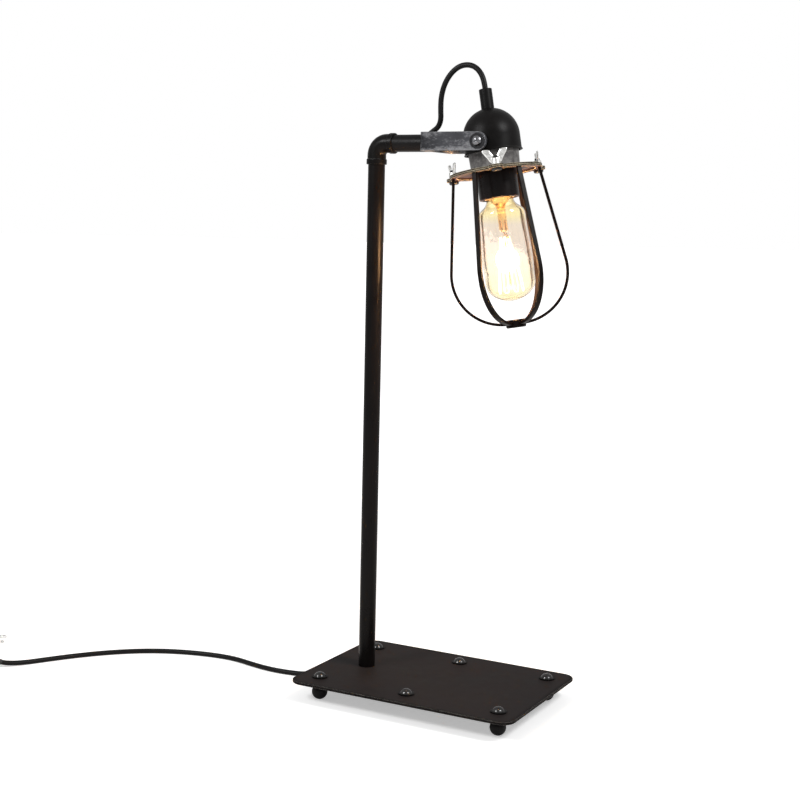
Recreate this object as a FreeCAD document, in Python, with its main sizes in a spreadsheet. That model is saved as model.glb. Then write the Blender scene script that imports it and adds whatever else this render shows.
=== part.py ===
"""Pipe table lamp: a tubular stand on a bolted steel plate, with a tilting caged lamp head.

Millimetres. +Z is up, X runs along the plate's long side towards the head and Y away from the
viewer. The stand's feet rest on Z = 0. The head is modelled about its pivot with its own axis along
Z and then tilted into place.
"""
import FreeCAD, Part
import Sketcher
import math
import os
from FreeCAD import Placement, Rotation, Vector

doc = FreeCAD.newDocument("PipeTableLamp")
sheet = doc.addObject("Spreadsheet::Sheet", "Sizes")

SIZES = [
    # Base plate, its bolts and its feet
    ("plate_x", -0.2, "plate centre, along X"),
    ("plate_length", 230.0, "plate, along X"),
    ("plate_width", 160.0, "plate, along Y"),
    ("plate_thickness", 3.0, "plate"),
    ("plate_corner", 13.0, "plate corner radius"),
    ("plate_edge", 0.5, "bevel round the plate's top and bottom edges"),
    ("bolt_inset_x", 21.5, "corner bolt from the plate's short edge"),
    ("bolt_inset_y", 24.0, "bolt from the plate's long edge"),
    ("bolt_thread", 6.0, "thread diameter of the plate bolts"),
    ("bolt_head", 11.6, "domed bolt head diameter"),
    ("bolt_rise", 4.0, "domed bolt head height"),
    ("bolt_washer", 15.0, "bolt washer diameter"),
    ("washer_thickness", 1.2, "bolt washer thickness"),
    ("bolt_reach", 7.5, "bolt below the plate"),
    ("nut_flats", 10.0, "nut across flats, plate bolts"),
    ("nut_height", 5.0, "nut height, plate bolts"),
    ("foot_height", 18.0, "foot, floor to plate"),
    ("foot_ball", 15.0, "ball of the foot, diameter"),
    ("foot_sink", 0.5, "flat cut off the ball's bottom"),
    ("foot_neck", 10.0, "neck of the foot, diameter"),
    # Column, elbow and arm
    ("column_inset", 41.0, "column centre from the plate's left edge"),
    ("tube_outer", 16.0, "column and arm tube, outside"),
    ("tube_wall", 1.5, "column and arm tube, wall"),
    ("arm_height", 526.5, "arm axis above the floor"),
    ("arm_reach", 119.0, "column axis to head pivot"),
    ("elbow_outer", 17.6, "elbow body, outside"),
    ("elbow_bend", 11.0, "elbow centreline bend radius"),
    ("elbow_reach", 19.5, "elbow corner to its end faces"),
    ("bead_outer", 19.2, "bead at the elbow's ends, outside"),
    ("bead_width", 5.0, "bead, along the tube"),
    ("bead_round", 0.7, "rounding of the bead's edges"),
    ("elbow_seat", 2.0, "depth of the tube's seat in the elbow"),
    ("nipple_outer", 10.0, "threaded nipples, outside"),
    ("nipple_bore", 7.0, "threaded nipples, bore"),
    ("nipple_grip", 6.0, "nipple's hold in the elbow"),
    ("insert_length", 8.0, "threaded insert in a tube end"),
    ("locknut_flats", 17.0, "base locknut across flats"),
    ("locknut_height", 3.0, "base locknut"),
    ("base_washer", 24.0, "washer under the plate, outside"),
    ("base_washer_thickness", 1.2, "washer under the plate"),
    ("nipple_show", 0.3, "nipple end below the locknut"),
    ("notch_length", 14.0, "wire notch at the arm's end"),
    ("notch_width", 6.4, "wire notch, across"),
    # Yoke and its pivot
    ("yoke_length", 58.4, "web's outer face to pivot"),
    ("yoke_inside", 58.0, "clear width between the straps"),
    ("strap_height", 16.6, "strap"),
    ("strap_thickness", 3.0, "strap"),
    ("strap_bend", 2.5, "inner bend radius of the strap"),
    ("spigot_length", 2.5, "spigot on the web, into the arm tube"),
    ("pivot_screw", 6.0, "pivot screw diameter"),
    ("pivot_head", 9.6, "pivot screw head"),
    ("pivot_rise", 3.2, "pivot screw head, domed height"),
    ("pivot_washer", 14.0, "pivot washer, outside"),
    ("pivot_washer_thickness", 1.0, "pivot washer"),
    ("spacer_outer", 12.0, "spacer between strap and dome"),
    ("pivot_nut", 11.0, "round nut inside the dome, outside"),
    ("pivot_nut_height", 3.6, "round nut inside the dome"),
    ("pivot_gap", 0.3, "side gap at the turning faces"),
    ("run_gap", 0.05, "radial gap of a turning shaft"),
    ("fit_gap", 0.02, "radial gap of a fixed fit"),
    # Lamp head, measured from the pivot along the head's axis
    ("tilt", 10.15, "head axis from upright, degrees"),
    ("dome_outer", 51.5, "dome, outside diameter"),
    ("dome_wall", 1.2, "dome wall"),
    ("dome_top", 31.1, "dome crown above the pivot"),
    ("dome_bottom", 8.9, "dome rim below the pivot"),
    ("dome_lip", 0.9, "rim's flare"),
    ("lip_height", 1.6, "height of the flared rim"),
    ("relief_outer", 11.7, "strain relief"),
    ("relief_length", 18.2, "strain relief"),
    ("relief_round", 0.8, "rounded top edge of the strain relief"),
    ("top_nipple", 8.0, "nipple through the dome's crown"),
    ("top_nipple_bore", 5.4, "nipple through the dome's crown, bore"),
    ("top_nipple_up", 8.0, "nipple above the dome"),
    ("top_nipple_down", 11.0, "nipple below the dome's seat"),
    ("collar_top", 46.0, "collar diameter under the dome"),
    ("collar_bottom", 44.2, "collar diameter at the cage plate"),
    ("collar_wall", 1.2, "collar wall"),
    ("collar_hide", 2.6, "collar inside the dome"),
    ("sheet_thickness", 1.5, "cage plate and cage ring"),
    ("cage_plate_top", 24.6, "cage plate's top face below the pivot"),
    ("disc_radius", 41.8, "cage plate and ring, outer radius"),
    ("ring_inner", 35.6, "cage ring, inner radius"),
    ("ear_radius", 45.0, "screw circle of the ears"),
    ("ear_round", 6.4, "radius of the ear's end"),
    ("ear_count", 3.0, "ears"),
    ("clock", -4.8, "ears and ribs turned about the head axis, degrees"),
    ("holder_cap_outer", 39.0, "lamp holder cap, outside"),
    ("holder_cap_wall", 2.4, "lamp holder cap, wall"),
    ("holder_cap_top", 16.0, "lamp holder cap's shoulder above the pivot"),
    ("cap_neck", 13.0, "lamp holder cap's neck, outside"),
    ("sleeve_outer", 36.5, "lamp holder sleeve, outside"),
    ("sleeve_bore", 31.4, "lamp holder sleeve, bore"),
    ("sleeve_bottom", 50.7, "sleeve's rim below the pivot"),
    ("sleeve_neck_top", 9.0, "sleeve's threaded neck, top below the pivot"),
    ("shell_outer", 28.6, "screw shell, outside"),
    ("shell_wall", 0.5, "screw shell"),
    ("shell_bottom", 45.0, "screw shell's rim below the pivot"),
    ("shell_top", 16.0, "screw shell's top below the pivot"),
    ("insert_top", 4.0, "lamp holder insulator, top below the pivot"),
    # Cage, below the cage plate
    ("rib_width", 3.9, "rib, across"),
    ("rib_thickness", 2.6, "rib, radially"),
    ("rib_start", 38.9, "rib centreline radius at the ring"),
    ("rib_offset", 7.0, "centre of the rib's round, from the axis"),
    ("rib_round", 45.5, "centreline radius of the rib's round"),
    ("cage_bottom", 164.1, "boss centre below the pivot"),
    ("boss_outer", 18.6, "cage boss"),
    ("boss_height", 7.4, "cage boss"),
    ("boss_slot", 2.4, "rib's seat inside the boss"),
    ("boss_edge", 1.0, "bevel of the boss"),
    ("cage_screw", 5.0, "cage screw thread"),
    ("cage_screw_head", 9.0, "cage screw head"),
    ("cage_screw_rise", 2.8, "cage screw head height"),
    ("cage_screw_show", 9.0, "cage screw above the cage plate"),
    ("wing_span", 24.8, "wing nut, tip to tip"),
    ("wing_height", 16.4, "wing nut, overall"),
    ("wing_boss", 8.6, "wing nut boss"),
    ("wing_boss_height", 6.4, "wing nut boss"),
    ("wing_thickness", 2.2, "wing"),
    ("wing_blade", 5.4, "width of a wing's blade"),
    ("wing_turn_back", 64.0, "back right wing nut, turned from its ear, degrees"),
    ("wing_turn_left", -42.0, "left wing nut, turned from its ear, degrees"),
    ("wing_turn_front", 90.0, "front wing nut, turned from its ear, degrees"),
    # Bulb, along the head's axis
    ("bulb_tip", 143.4, "bottom of the glass below the pivot"),
    ("bulb_length", 120.0, "bulb from contact to tip"),
    ("bulb_cap_outer", 26.6, "screw cap of the bulb"),
    ("bulb_cap_length", 23.0, "screw cap of the bulb"),
    ("bulb_waist", 14.2, "glass radius at the sleeve's mouth"),
    ("bulb_shoulder", 20.1, "glass radius at the shoulder"),
    ("bulb_belly", 23.1, "largest glass radius"),
    ("bulb_dome", 17.0, "height of the glass's domed end"),
    ("bulb_corner", 13.0, "radius of the glass's lower corner"),
    ("glass_wall", 0.9, "glass"),
    ("stem_outer", 8.0, "glass stem"),
    ("stem_length", 30.0, "glass stem below the screw cap"),
    ("filament_wire", 0.7, "filament"),
    ("filament_low", 7.5, "filament's lowest bend above the bulb's tip"),
    ("filament_top", 5.0, "radius of the filament's upper bends"),
    ("filament_wide", 11.5, "radius of the filament's lower bends"),
    # Cord, switch, coil and plug
    ("cord", 5.0, "cord diameter"),
    ("floor_gap", 0.05, "cord above the floor"),
    ("base_bend", 6.0, "cord's bend under the column"),
    ("clip_inset", 6.0, "clip's outer face from the plate's left edge"),
    ("clip_length", 8.0, "clip, along the cord"),
    ("clip_wall", 2.2, "clip's loop"),
    ("clip_pad", 15.0, "clip's pad, across"),
    ("clip_pad_thickness", 1.8, "clip's pad"),
    ("switch_x", -432.0, "cord's end at the switch, from the plate's centre"),
    ("switch_y", -160.0, "cord's end at the switch"),
    ("switch_heading", 215.0, "direction of the cord at the switch, degrees"),
    ("switch_length", 64.0, "switch casing"),
    ("switch_width", 27.0, "switch casing"),
    ("switch_end", 11.0, "switch casing's ends, across"),
    ("switch_height", 19.0, "switch casing"),
    ("switch_split", 9.5, "casing's parting line above the floor"),
    ("switch_round", 3.0, "rounded casing edges"),
    ("switch_wall", 2.0, "casing wall"),
    ("rocker_length", 17.0, "rocker"),
    ("rocker_width", 11.6, "rocker"),
    ("rocker_gap", 0.5, "gap round the rocker"),
    ("rocker_pin", 3.0, "rocker's pin"),
    ("rocker_pin_height", 13.6, "rocker's pin above the floor"),
    ("rocker_show", 1.6, "rocker above the casing at its middle"),
    ("rocker_tilt", 8.0, "rocker rests tilted by this, degrees"),
    ("coil_radius", 38.0, "outermost turn of the coil"),
    ("coil_pitch", 5.7, "coil, turn to turn"),
    ("coil_layer", 5.6, "coil, layer to layer"),
    ("coil_halves", 6.0, "half turns in each layer of the coil"),
    ("plug_width", 33.0, "plug body"),
    ("plug_thickness", 13.8, "plug body"),
    ("plug_length", 35.0, "plug body"),
    ("plug_neck", 8.6, "plug's cord collar"),
    ("plug_neck_length", 10.0, "plug's cord collar"),
    ("plug_round", 3.2, "rounded plug edges"),
    ("pin_spacing", 18.6, "plug pins, centre to centre"),
    ("pin_outer", 4.0, "plug pin"),
    ("pin_length", 19.0, "plug pin"),
]
for row, (alias, number, note) in enumerate(SIZES, 1):
    sheet.set(f"A{row}", note)
    sheet.set(f"B{row}", str(number))
    sheet.setAlias(f"B{row}", alias)
doc.recompute()


class Cell:
    """A number together with the expression over the sheet that gives it."""

    def __init__(self, text, value):
        self.text, self.value = text, float(value)

    def __add__(self, other):
        return joined(self, "+", other, self.value + number(other))

    def __radd__(self, other):
        return joined(other, "+", self, number(other) + self.value)

    def __sub__(self, other):
        return joined(self, "-", other, self.value - number(other))

    def __rsub__(self, other):
        return joined(other, "-", self, number(other) - self.value)

    def __mul__(self, other):
        return joined(self, "*", other, self.value * number(other))

    def __rmul__(self, other):
        return joined(other, "*", self, number(other) * self.value)

    def __truediv__(self, other):
        return joined(self, "/", other, self.value / number(other))

    def __neg__(self):
        return Cell(f"(-1 * {self.text})", -self.value)


def number(item):
    return item.value if isinstance(item, Cell) else float(item)


def words(item):
    return item.text if isinstance(item, Cell) else f"({item})"


def joined(first, sign, second, value):
    return Cell(f"({words(first)} {sign} {words(second)})", value)


def root(cell):
    return Cell(f"sqrt({cell.text})", math.sqrt(cell.value))


class Sheet:
    """Reads a size by its alias."""

    def __getattr__(self, alias):
        return Cell(f"Sizes.{alias}", sheet.get(alias))


S = Sheet()
nodes = []


def bind(obj, path, cell):
    if isinstance(cell, Cell):
        obj.setExpression(path, cell.text)


def new_body(label):
    body = doc.addObject("PartDesign::Body", label)
    body.Label = label
    return body


def keep(obj, label=None):
    """Marks an object as one of the lamp's sub-parts, under its node name."""
    if label:
        obj.Label = label
    nodes.append(obj)
    return obj


def place(obj, x=0, y=0, z=0):
    obj.Placement = Placement(Vector(number(x), number(y), number(z)), Rotation())
    for axis, cell in (("x", x), ("y", y), ("z", z)):
        bind(obj, f"Placement.Base.{axis}", cell)
    return obj


def sketch_on(body, role, loops, lift=0):
    """A closed outline on one of the body's own planes.

    Each loop is a list of corners (x, y), reached by a line, or (x, y, cx, cy, turn), reached by an
    arc about (cx, cy) that turns counterclockwise (+1) or clockwise (-1); or ("circle", x, y, r).
    """
    sketch = body.newObject("Sketcher::SketchObject", body.Name + "Sketch")
    plane = [item for item in body.Origin.OriginFeatures if item.Role == role][0]
    sketch.AttachmentSupport = [(plane, "")]
    sketch.MapMode = "FlatFace"
    sketch.AttachmentOffset = Placement(Vector(0, 0, number(lift)), Rotation())
    bind(sketch, "AttachmentOffset.Base.z", lift)
    shapes, rules, bound = [], [], []

    def fixed(kind, index, point, cell):
        rules.append(Sketcher.Constraint(kind, index, point, number(cell)))
        bound.append((len(rules) - 1, cell))

    for loop in loops:
        first = len(shapes)
        if loop[0] == "circle":
            _, x, y, r = loop
            shapes.append(Part.Circle(Vector(number(x), number(y), 0), Vector(0, 0, 1), number(r)))
            fixed("DistanceX", first, 3, x)
            fixed("DistanceY", first, 3, y)
            rules.append(Sketcher.Constraint("Radius", first, number(r)))
            bound.append((len(rules) - 1, r))
            continue
        heads, tails = [], []
        for i, corner in enumerate(loop):
            before = loop[i - 1]
            start = Vector(number(before[0]), number(before[1]), 0)
            end = Vector(number(corner[0]), number(corner[1]), 0)
            index = len(shapes)
            if len(corner) == 2:
                shapes.append(Part.LineSegment(start, end))
                heads.append((index, 1))
                tails.append((index, 2))
                continue
            centre = Vector(number(corner[2]), number(corner[3]), 0)
            low, high = (start, end) if corner[4] > 0 else (end, start)
            heads.append((index, 1 if corner[4] > 0 else 2))
            tails.append((index, 2 if corner[4] > 0 else 1))
            angles = [math.atan2(p.y - centre.y, p.x - centre.x) for p in (low, high)]
            if angles[1] <= angles[0] + 1e-9:
                angles[1] += 2 * math.pi
            circle = Part.Circle(centre, Vector(0, 0, 1), (start - centre).Length)
            shapes.append(Part.ArcOfCircle(circle, *angles))
            if abs(end.y - start.y) > abs(end.x - start.x):
                fixed("DistanceX", index, 3, corner[2])
            else:
                fixed("DistanceY", index, 3, corner[3])
        for i, corner in enumerate(loop):
            after = heads[(i + 1) % len(loop)]
            rules.append(Sketcher.Constraint("Coincident", *tails[i], *after))
            fixed("DistanceX", *tails[i], corner[0])
            fixed("DistanceY", *tails[i], corner[1])
    sketch.addGeometry(shapes, False)
    sketch.addConstraint(rules)
    for index, cell in bound:
        bind(sketch, f"Constraints[{index}]", cell)
    return sketch


def pad(body, role, loops, length, symmetric=False, lift=0, reverse=False):
    feature = body.newObject("PartDesign::Pad", body.Name + "Pad")
    feature.Profile = sketch_on(body, role, loops, lift)
    feature.Length = number(length)
    bind(feature, "Length", length)
    feature.SideType = "Symmetric" if symmetric else "One side"
    feature.Reversed = reverse
    return feature


def pocket(body, role, loops, length, symmetric=False, lift=0, reverse=False):
    """A cut of a given depth; the solid must get smaller."""
    doc.recompute()
    before = body.Shape.Volume
    feature = body.newObject("PartDesign::Pocket", body.Name + "Pocket")
    feature.Profile = sketch_on(body, role, loops, lift)
    feature.Type = "Length"
    feature.Length = number(length)
    bind(feature, "Length", length)
    feature.SideType = "Symmetric" if symmetric else "One side"
    feature.Reversed = reverse
    doc.recompute()
    if not body.Shape.Volume < before - 1e-6:
        raise SystemExit(f"{feature.Name} cuts nothing")
    return feature


def revolve(body, loop, role="XZ_Plane", axis="V_Axis"):
    feature = body.newObject("PartDesign::Revolution", body.Name + "Turn")
    sketch = sketch_on(body, role, [loop])
    feature.Profile = sketch
    feature.ReferenceAxis = (sketch, [axis])
    feature.Angle = 360
    return feature


def turned(label, loop):
    """A body turned about its own Z axis from a profile of (radius, height) corners."""
    body = new_body(label)
    revolve(body, loop)
    return body


def soften(body, size, wanted, kind="Fillet"):
    """Fillets or chamfers the edges of the body for which wanted(edge) holds."""
    doc.recompute()
    last = body.Tip
    edges = [f"Edge{i}" for i, edge in enumerate(last.Shape.Edges, 1) if wanted(edge)]
    feature = body.newObject(f"PartDesign::{kind}", body.Name + kind)
    feature.Base = (last, edges)
    name = "Radius" if kind == "Fillet" else "Size"
    setattr(feature, name, number(size))
    bind(feature, name, size)
    return feature


def at_height(z):
    return lambda edge: all(abs(v.Z - number(z)) < 1e-6 for v in edge.Vertexes) and (
        abs(edge.BoundBox.ZLength) < 1e-6)


def round_edge(radius):
    return lambda edge: hasattr(edge.Curve, "Radius") and (
        abs(edge.Curve.Radius - number(radius)) < 1e-6)


def ring(outer, inner, low, high):
    return [(inner, low), (outer, low), (outer, high), (inner, high)]


def rod(radius, low, high):
    return [(0, low), (radius, low), (radius, high), (0, high)]


def hexagon(flats):
    reach = flats / math.sqrt(3)
    return [(reach * math.cos(math.radians(60 * i)), reach * math.sin(math.radians(60 * i)))
            for i in range(6)]


def rounded(length, width, corner, x=0, y=0):
    """A rectangle about (x, y) with rounded corners."""
    a, b, r = length / 2, width / 2, corner
    return [(x + a, y - b + r, x + a - r, y - b + r, 1), (x + a, y + b - r),
            (x + a - r, y + b, x + a - r, y + b - r, 1), (x - a + r, y + b),
            (x - a, y + b - r, x - a + r, y + b - r, 1), (x - a, y - b + r),
            (x - a + r, y - b, x - a + r, y - b + r, 1), (x + a - r, y - b)]


def copies(label, body, places):
    """One node of identical pieces: the body's solid at each placement."""
    doc.recompute()
    links = []
    for i, where in enumerate(places, 1):
        link = doc.addObject("App::Link", f"{label}_{i}")
        link.LinkedObject = body
        link.Placement = where
        links.append(link)
    group = doc.addObject("Part::Compound", label)
    group.Links = links
    return keep(group, label)


def moved(x=0, y=0, z=0, rotation=None):
    return Placement(Vector(number(x), number(y), number(z)), rotation or Rotation())


# Heights and places that several pieces share
plate_bottom = S.foot_height
plate_top = S.foot_height + S.plate_thickness
column_from_centre = S.column_inset - S.plate_length / 2
column_x = S.plate_x + column_from_centre
pivot_x = column_x + S.arm_reach
web_x = pivot_x - S.yoke_length
tube_radius = S.tube_outer / 2
tube_bore = tube_radius - S.tube_wall
elbow_end = S.elbow_reach - S.elbow_seat
column_end = S.arm_height - elbow_end
bolt_x = S.plate_length / 2 - S.bolt_inset_x
bolt_y = S.plate_width / 2 - S.bolt_inset_y
cord_radius = S.cord / 2
bolt_places = [(S.plate_x + sx * bolt_x, sy * bolt_y) for sx in (-1, 1) for sy in (-1, 1)]
bolt_places += [(S.plate_x, -bolt_y), (S.plate_x, bolt_y)]

# Base plate: rounded sheet with six bolt holes and the column's hole, bevelled round its edges
plate = keep(new_body("base_plate"))
pad(plate, "XY_Plane", [rounded(S.plate_length, S.plate_width, S.plate_corner)], S.plate_thickness)
soften(plate, S.plate_edge, lambda edge: abs(edge.BoundBox.ZLength) < 1e-6, "Chamfer")
holes = [("circle", x - S.plate_x, y, S.bolt_thread / 2 + S.fit_gap) for x, y in bolt_places]
holes.append(("circle", column_from_centre, 0, S.nipple_outer / 2 + S.fit_gap))
pocket(plate, "XY_Plane", holes, S.plate_thickness * 3, symmetric=True)
place(plate, S.plate_x, 0, plate_bottom)

# Domed bolts through the plate, each over a washer; the long-edge pair has nuts below
seat = S.washer_thickness + S.plate_thickness
half_head = S.bolt_head / 2
dome_drop = (half_head * half_head - S.bolt_rise * S.bolt_rise) / (2 * S.bolt_rise)
bolt = turned("bolt_pattern_piece", [
    (0, -seat - S.bolt_reach), (S.bolt_thread / 2, -seat - S.bolt_reach), (S.bolt_thread / 2, 0),
    (half_head, 0), (0, S.bolt_rise, 0, -dome_drop, 1)])
copies("plate_bolts", bolt, [moved(x, y, plate_top + S.washer_thickness) for x, y in bolt_places])
washer = turned("washer_pattern_piece", ring(
    S.bolt_washer / 2, S.bolt_thread / 2 + S.fit_gap, 0, S.washer_thickness))
copies("bolt_washers", washer, [moved(x, y, plate_top) for x, y in bolt_places])
nut = new_body("nut_pattern_piece")
pad(nut, "XY_Plane", [hexagon(S.nut_flats), ("circle", 0, 0, S.bolt_thread / 2 + S.fit_gap)],
    S.nut_height, reverse=True)
copies("plate_nuts", nut, [moved(x, y, plate_bottom) for x, y in bolt_places[4:]])

# Ball feet: turned, cut flat below and bored for the corner bolts
ball = S.foot_ball / 2
ball_z = ball - S.foot_sink
neck = S.foot_neck / 2
flat_r = root(ball * ball - ball_z * ball_z)
neck_z = ball_z + root(ball * ball - neck * neck)
bore_r = S.bolt_thread / 2 + S.fit_gap
bore_z = S.foot_height - S.bolt_reach
for name, (x, y) in zip(("front_left", "back_left", "front_right", "back_right"), bolt_places):
    foot = turned(f"foot_{name}", [
        (0, 0), (flat_r, 0), (neck, neck_z, 0, ball_z, 1), (neck, S.foot_height),
        (bore_r, S.foot_height), (bore_r, bore_z), (0, bore_z)])
    keep(place(foot, x, y))

# Column: a tube on end, with a threaded insert in each end
column = turned("column_tube", ring(tube_radius, tube_bore, 0, column_end - plate_top))
keep(place(column, column_x, 0, plate_top))
insert = turned("insert_pattern_piece", ring(
    tube_bore - S.fit_gap, S.nipple_outer / 2 + S.fit_gap, 0, S.insert_length))
along_x = Rotation(Vector(0, 1, 0), 90)
copies("tube_inserts", insert, [
    moved(column_x, 0, plate_top), moved(column_x, 0, column_end - S.insert_length),
    moved(column_x + elbow_end, 0, S.arm_height, along_x)])

# Nipple, washer and locknut that hold the column to the plate from below
stack = S.base_washer_thickness + S.locknut_height + S.nipple_show
base_nipple = turned("base_nipple", ring(
    S.nipple_outer / 2, S.nipple_bore / 2, -S.plate_thickness - stack, S.insert_length))
keep(place(base_nipple, column_x, 0, plate_top))
nipple_mouth = plate_bottom - stack
wide_washer = turned("base_washer", ring(
    S.base_washer / 2, S.nipple_outer / 2 + S.fit_gap, -S.base_washer_thickness, 0))
keep(place(wide_washer, column_x, 0, plate_bottom))
locknut = keep(new_body("base_locknut"))
pad(locknut, "XY_Plane",
    [hexagon(S.locknut_flats), ("circle", 0, 0, S.nipple_outer / 2 + S.fit_gap)],
    S.locknut_height, reverse=True)
place(locknut, column_x, 0, plate_bottom - S.base_washer_thickness)

# Elbow: a beaded casting swept round a quarter bend, bored through and counterbored for the tubes
elbow = keep(new_body("elbow"))
spine = elbow.newObject("Sketcher::SketchObject", "ElbowPath")
spine.AttachmentSupport = [([p for p in elbow.Origin.OriginFeatures if p.Role == "XZ_Plane"][0], "")]
spine.MapMode = "FlatFace"
bend, reach = S.elbow_bend, S.elbow_reach
spine.addGeometry([
    Part.LineSegment(Vector(0, -reach.value, 0), Vector(0, -bend.value, 0)),
    Part.ArcOfCircle(Part.Circle(Vector(bend.value, -bend.value, 0), Vector(0, 0, 1), bend.value),
                     math.pi / 2, math.pi),
    Part.LineSegment(Vector(bend.value, 0, 0), Vector(reach.value, 0, 0))], False)
spine.addConstraint([
    Sketcher.Constraint("Coincident", 0, 2, 1, 2), Sketcher.Constraint("Coincident", 1, 1, 2, 1),
    Sketcher.Constraint("PointOnObject", 0, 1, -2), Sketcher.Constraint("Vertical", 0),
    Sketcher.Constraint("PointOnObject", 2, 2, -1), Sketcher.Constraint("Horizontal", 2),
    Sketcher.Constraint("DistanceY", 0, 1, -reach.value),
    Sketcher.Constraint("DistanceX", 2, 2, reach.value),
    Sketcher.Constraint("DistanceX", 1, 3, bend.value),
    Sketcher.Constraint("DistanceY", 0, 2, -bend.value),
    Sketcher.Constraint("DistanceX", 2, 1, bend.value)])
for index, cell in ((6, -reach), (7, reach), (8, bend), (9, -bend), (10, bend)):
    bind(spine, f"Constraints[{index}]", cell)


def sweep(kind, radius):
    feature = elbow.newObject(f"PartDesign::{kind}Pipe", "Elbow" + kind)
    feature.Profile = sketch_on(elbow, "XY_Plane", [("circle", 0, 0, radius)], lift=-reach)
    feature.Spine = spine
    return feature


def turn_on_elbow(kind, low, high, outer, inner, across):
    feature = elbow.newObject(f"PartDesign::{kind}", f"Elbow{kind}")
    if across:
        loop = [(low, inner), (high, inner), (high, outer), (low, outer)]
    else:
        loop = [(inner, -high), (outer, -high), (outer, -low), (inner, -low)]
    sketch = sketch_on(elbow, "XZ_Plane", [loop])
    feature.Profile = sketch
    feature.ReferenceAxis = (sketch, ["H_Axis" if across else "V_Axis"])
    feature.Angle = 360
    doc.recompute()
    return feature


sweep("Additive", S.elbow_outer / 2)
doc.recompute()
plain = elbow.Shape.Volume
for across in (False, True):
    turn_on_elbow("Revolution", reach - S.bead_width, reach, S.bead_outer / 2,
                  S.elbow_outer / 2 - S.tube_wall, across)
soften(elbow, S.bead_round, round_edge(S.bead_outer / 2))
doc.recompute()
beaded = elbow.Shape.Volume
sweep("Subtractive", S.nipple_outer / 2 + S.fit_gap)
doc.recompute()
bored = elbow.Shape.Volume
for across in (False, True):
    turn_on_elbow("Groove", elbow_end, reach + 1, tube_radius + S.fit_gap, 0, across)
if not (plain < beaded and bored < beaded and elbow.Shape.Volume < bored):
    raise SystemExit("the elbow's beads or bores are missing")
place(elbow, column_x, 0, S.arm_height)
short_nipple = turned("nipple_pattern_piece", ring(
    S.nipple_outer / 2, S.nipple_bore / 2, -S.insert_length, S.nipple_grip))
copies("elbow_nipples", short_nipple, [
    moved(column_x, 0, column_end),
    moved(column_x + elbow_end, 0, S.arm_height, Rotation(Vector(0, 1, 0), -90))])

# Arm: a short tube with a wire notch in its top where it meets the yoke
arm_length = web_x - column_x - elbow_end
arm = keep(new_body("arm_tube"))
pad(arm, "YZ_Plane", [("circle", 0, 0, tube_radius), ("circle", 0, 0, tube_bore)], arm_length)
notch = S.notch_width / 2
pocket(arm, "XY_Plane", [[
    (arm_length + 1, -notch), (arm_length + 1, notch), (arm_length - S.notch_length + notch, notch),
    (arm_length - S.notch_length + notch, -notch, arm_length - S.notch_length + notch, 0, 1)]],
    S.tube_outer, reverse=True)
place(arm, column_x + elbow_end, 0, S.arm_height)

# Yoke: a strap bent into a U, with round ends, pivot holes and a short spigot into the arm tube
yoke = keep(new_body("yoke"))
inner_y = S.yoke_inside / 2
outer_y = inner_y + S.strap_thickness
eye = S.strap_height / 2
back = -S.yoke_length
thick, bend_in = S.strap_thickness, S.strap_bend
bend_out = S.strap_bend + S.strap_thickness
face = back + thick
pad(yoke, "XY_Plane", [[
    (eye, -outer_y), (eye, -inner_y), (face + bend_in, -inner_y),
    (face, -inner_y + bend_in, face + bend_in, -inner_y + bend_in, -1), (face, inner_y - bend_in),
    (face + bend_in, inner_y, face + bend_in, inner_y - bend_in, -1), (eye, inner_y),
    (eye, outer_y), (back + bend_out, outer_y),
    (back, outer_y - bend_out, back + bend_out, outer_y - bend_out, 1), (back, -outer_y + bend_out),
    (back + bend_out, -outer_y, back + bend_out, -outer_y + bend_out, 1)]],
    S.strap_height, symmetric=True)
pocket(yoke, "XZ_Plane", [[
    (0, eye + 1), (0, eye), (0, -eye, 0, 0, -1), (0, -eye - 1), (eye + 1, -eye - 1),
    (eye + 1, eye + 1)]], outer_y * 3, symmetric=True)
pocket(yoke, "XZ_Plane", [("circle", 0, 0, S.pivot_screw / 2 + S.run_gap)], outer_y * 3,
       symmetric=True)
spigot = pad(yoke, "YZ_Plane", [("circle", 0, 0, tube_bore - S.fit_gap)], S.spigot_length,
             lift=back, reverse=True)
place(yoke, pivot_x, 0, S.arm_height)


# Head: every piece below is modelled about the pivot and tilted with the head
def head_place(obj, turn=0.0):
    tilt = Rotation(Vector(0, 1, 0), -S.tilt.value)
    obj.Placement = Placement(Vector(pivot_x.value, 0, S.arm_height.value), tilt).multiply(
        Placement(Vector(), Rotation(Vector(0, 0, 1), turn)))
    bind(obj, "Placement.Base.x", pivot_x)
    bind(obj, "Placement.Base.z", S.arm_height)
    if turn == 0.0:
        bind(obj, "Placement.Rotation.Angle", -S.tilt)
    return obj


def head_copies(label, body, local):
    tilt = Placement(Vector(pivot_x.value, 0, S.arm_height.value),
                     Rotation(Vector(0, 1, 0), -S.tilt.value))
    return copies(label, body, [tilt.multiply(item) for item in local])


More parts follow.
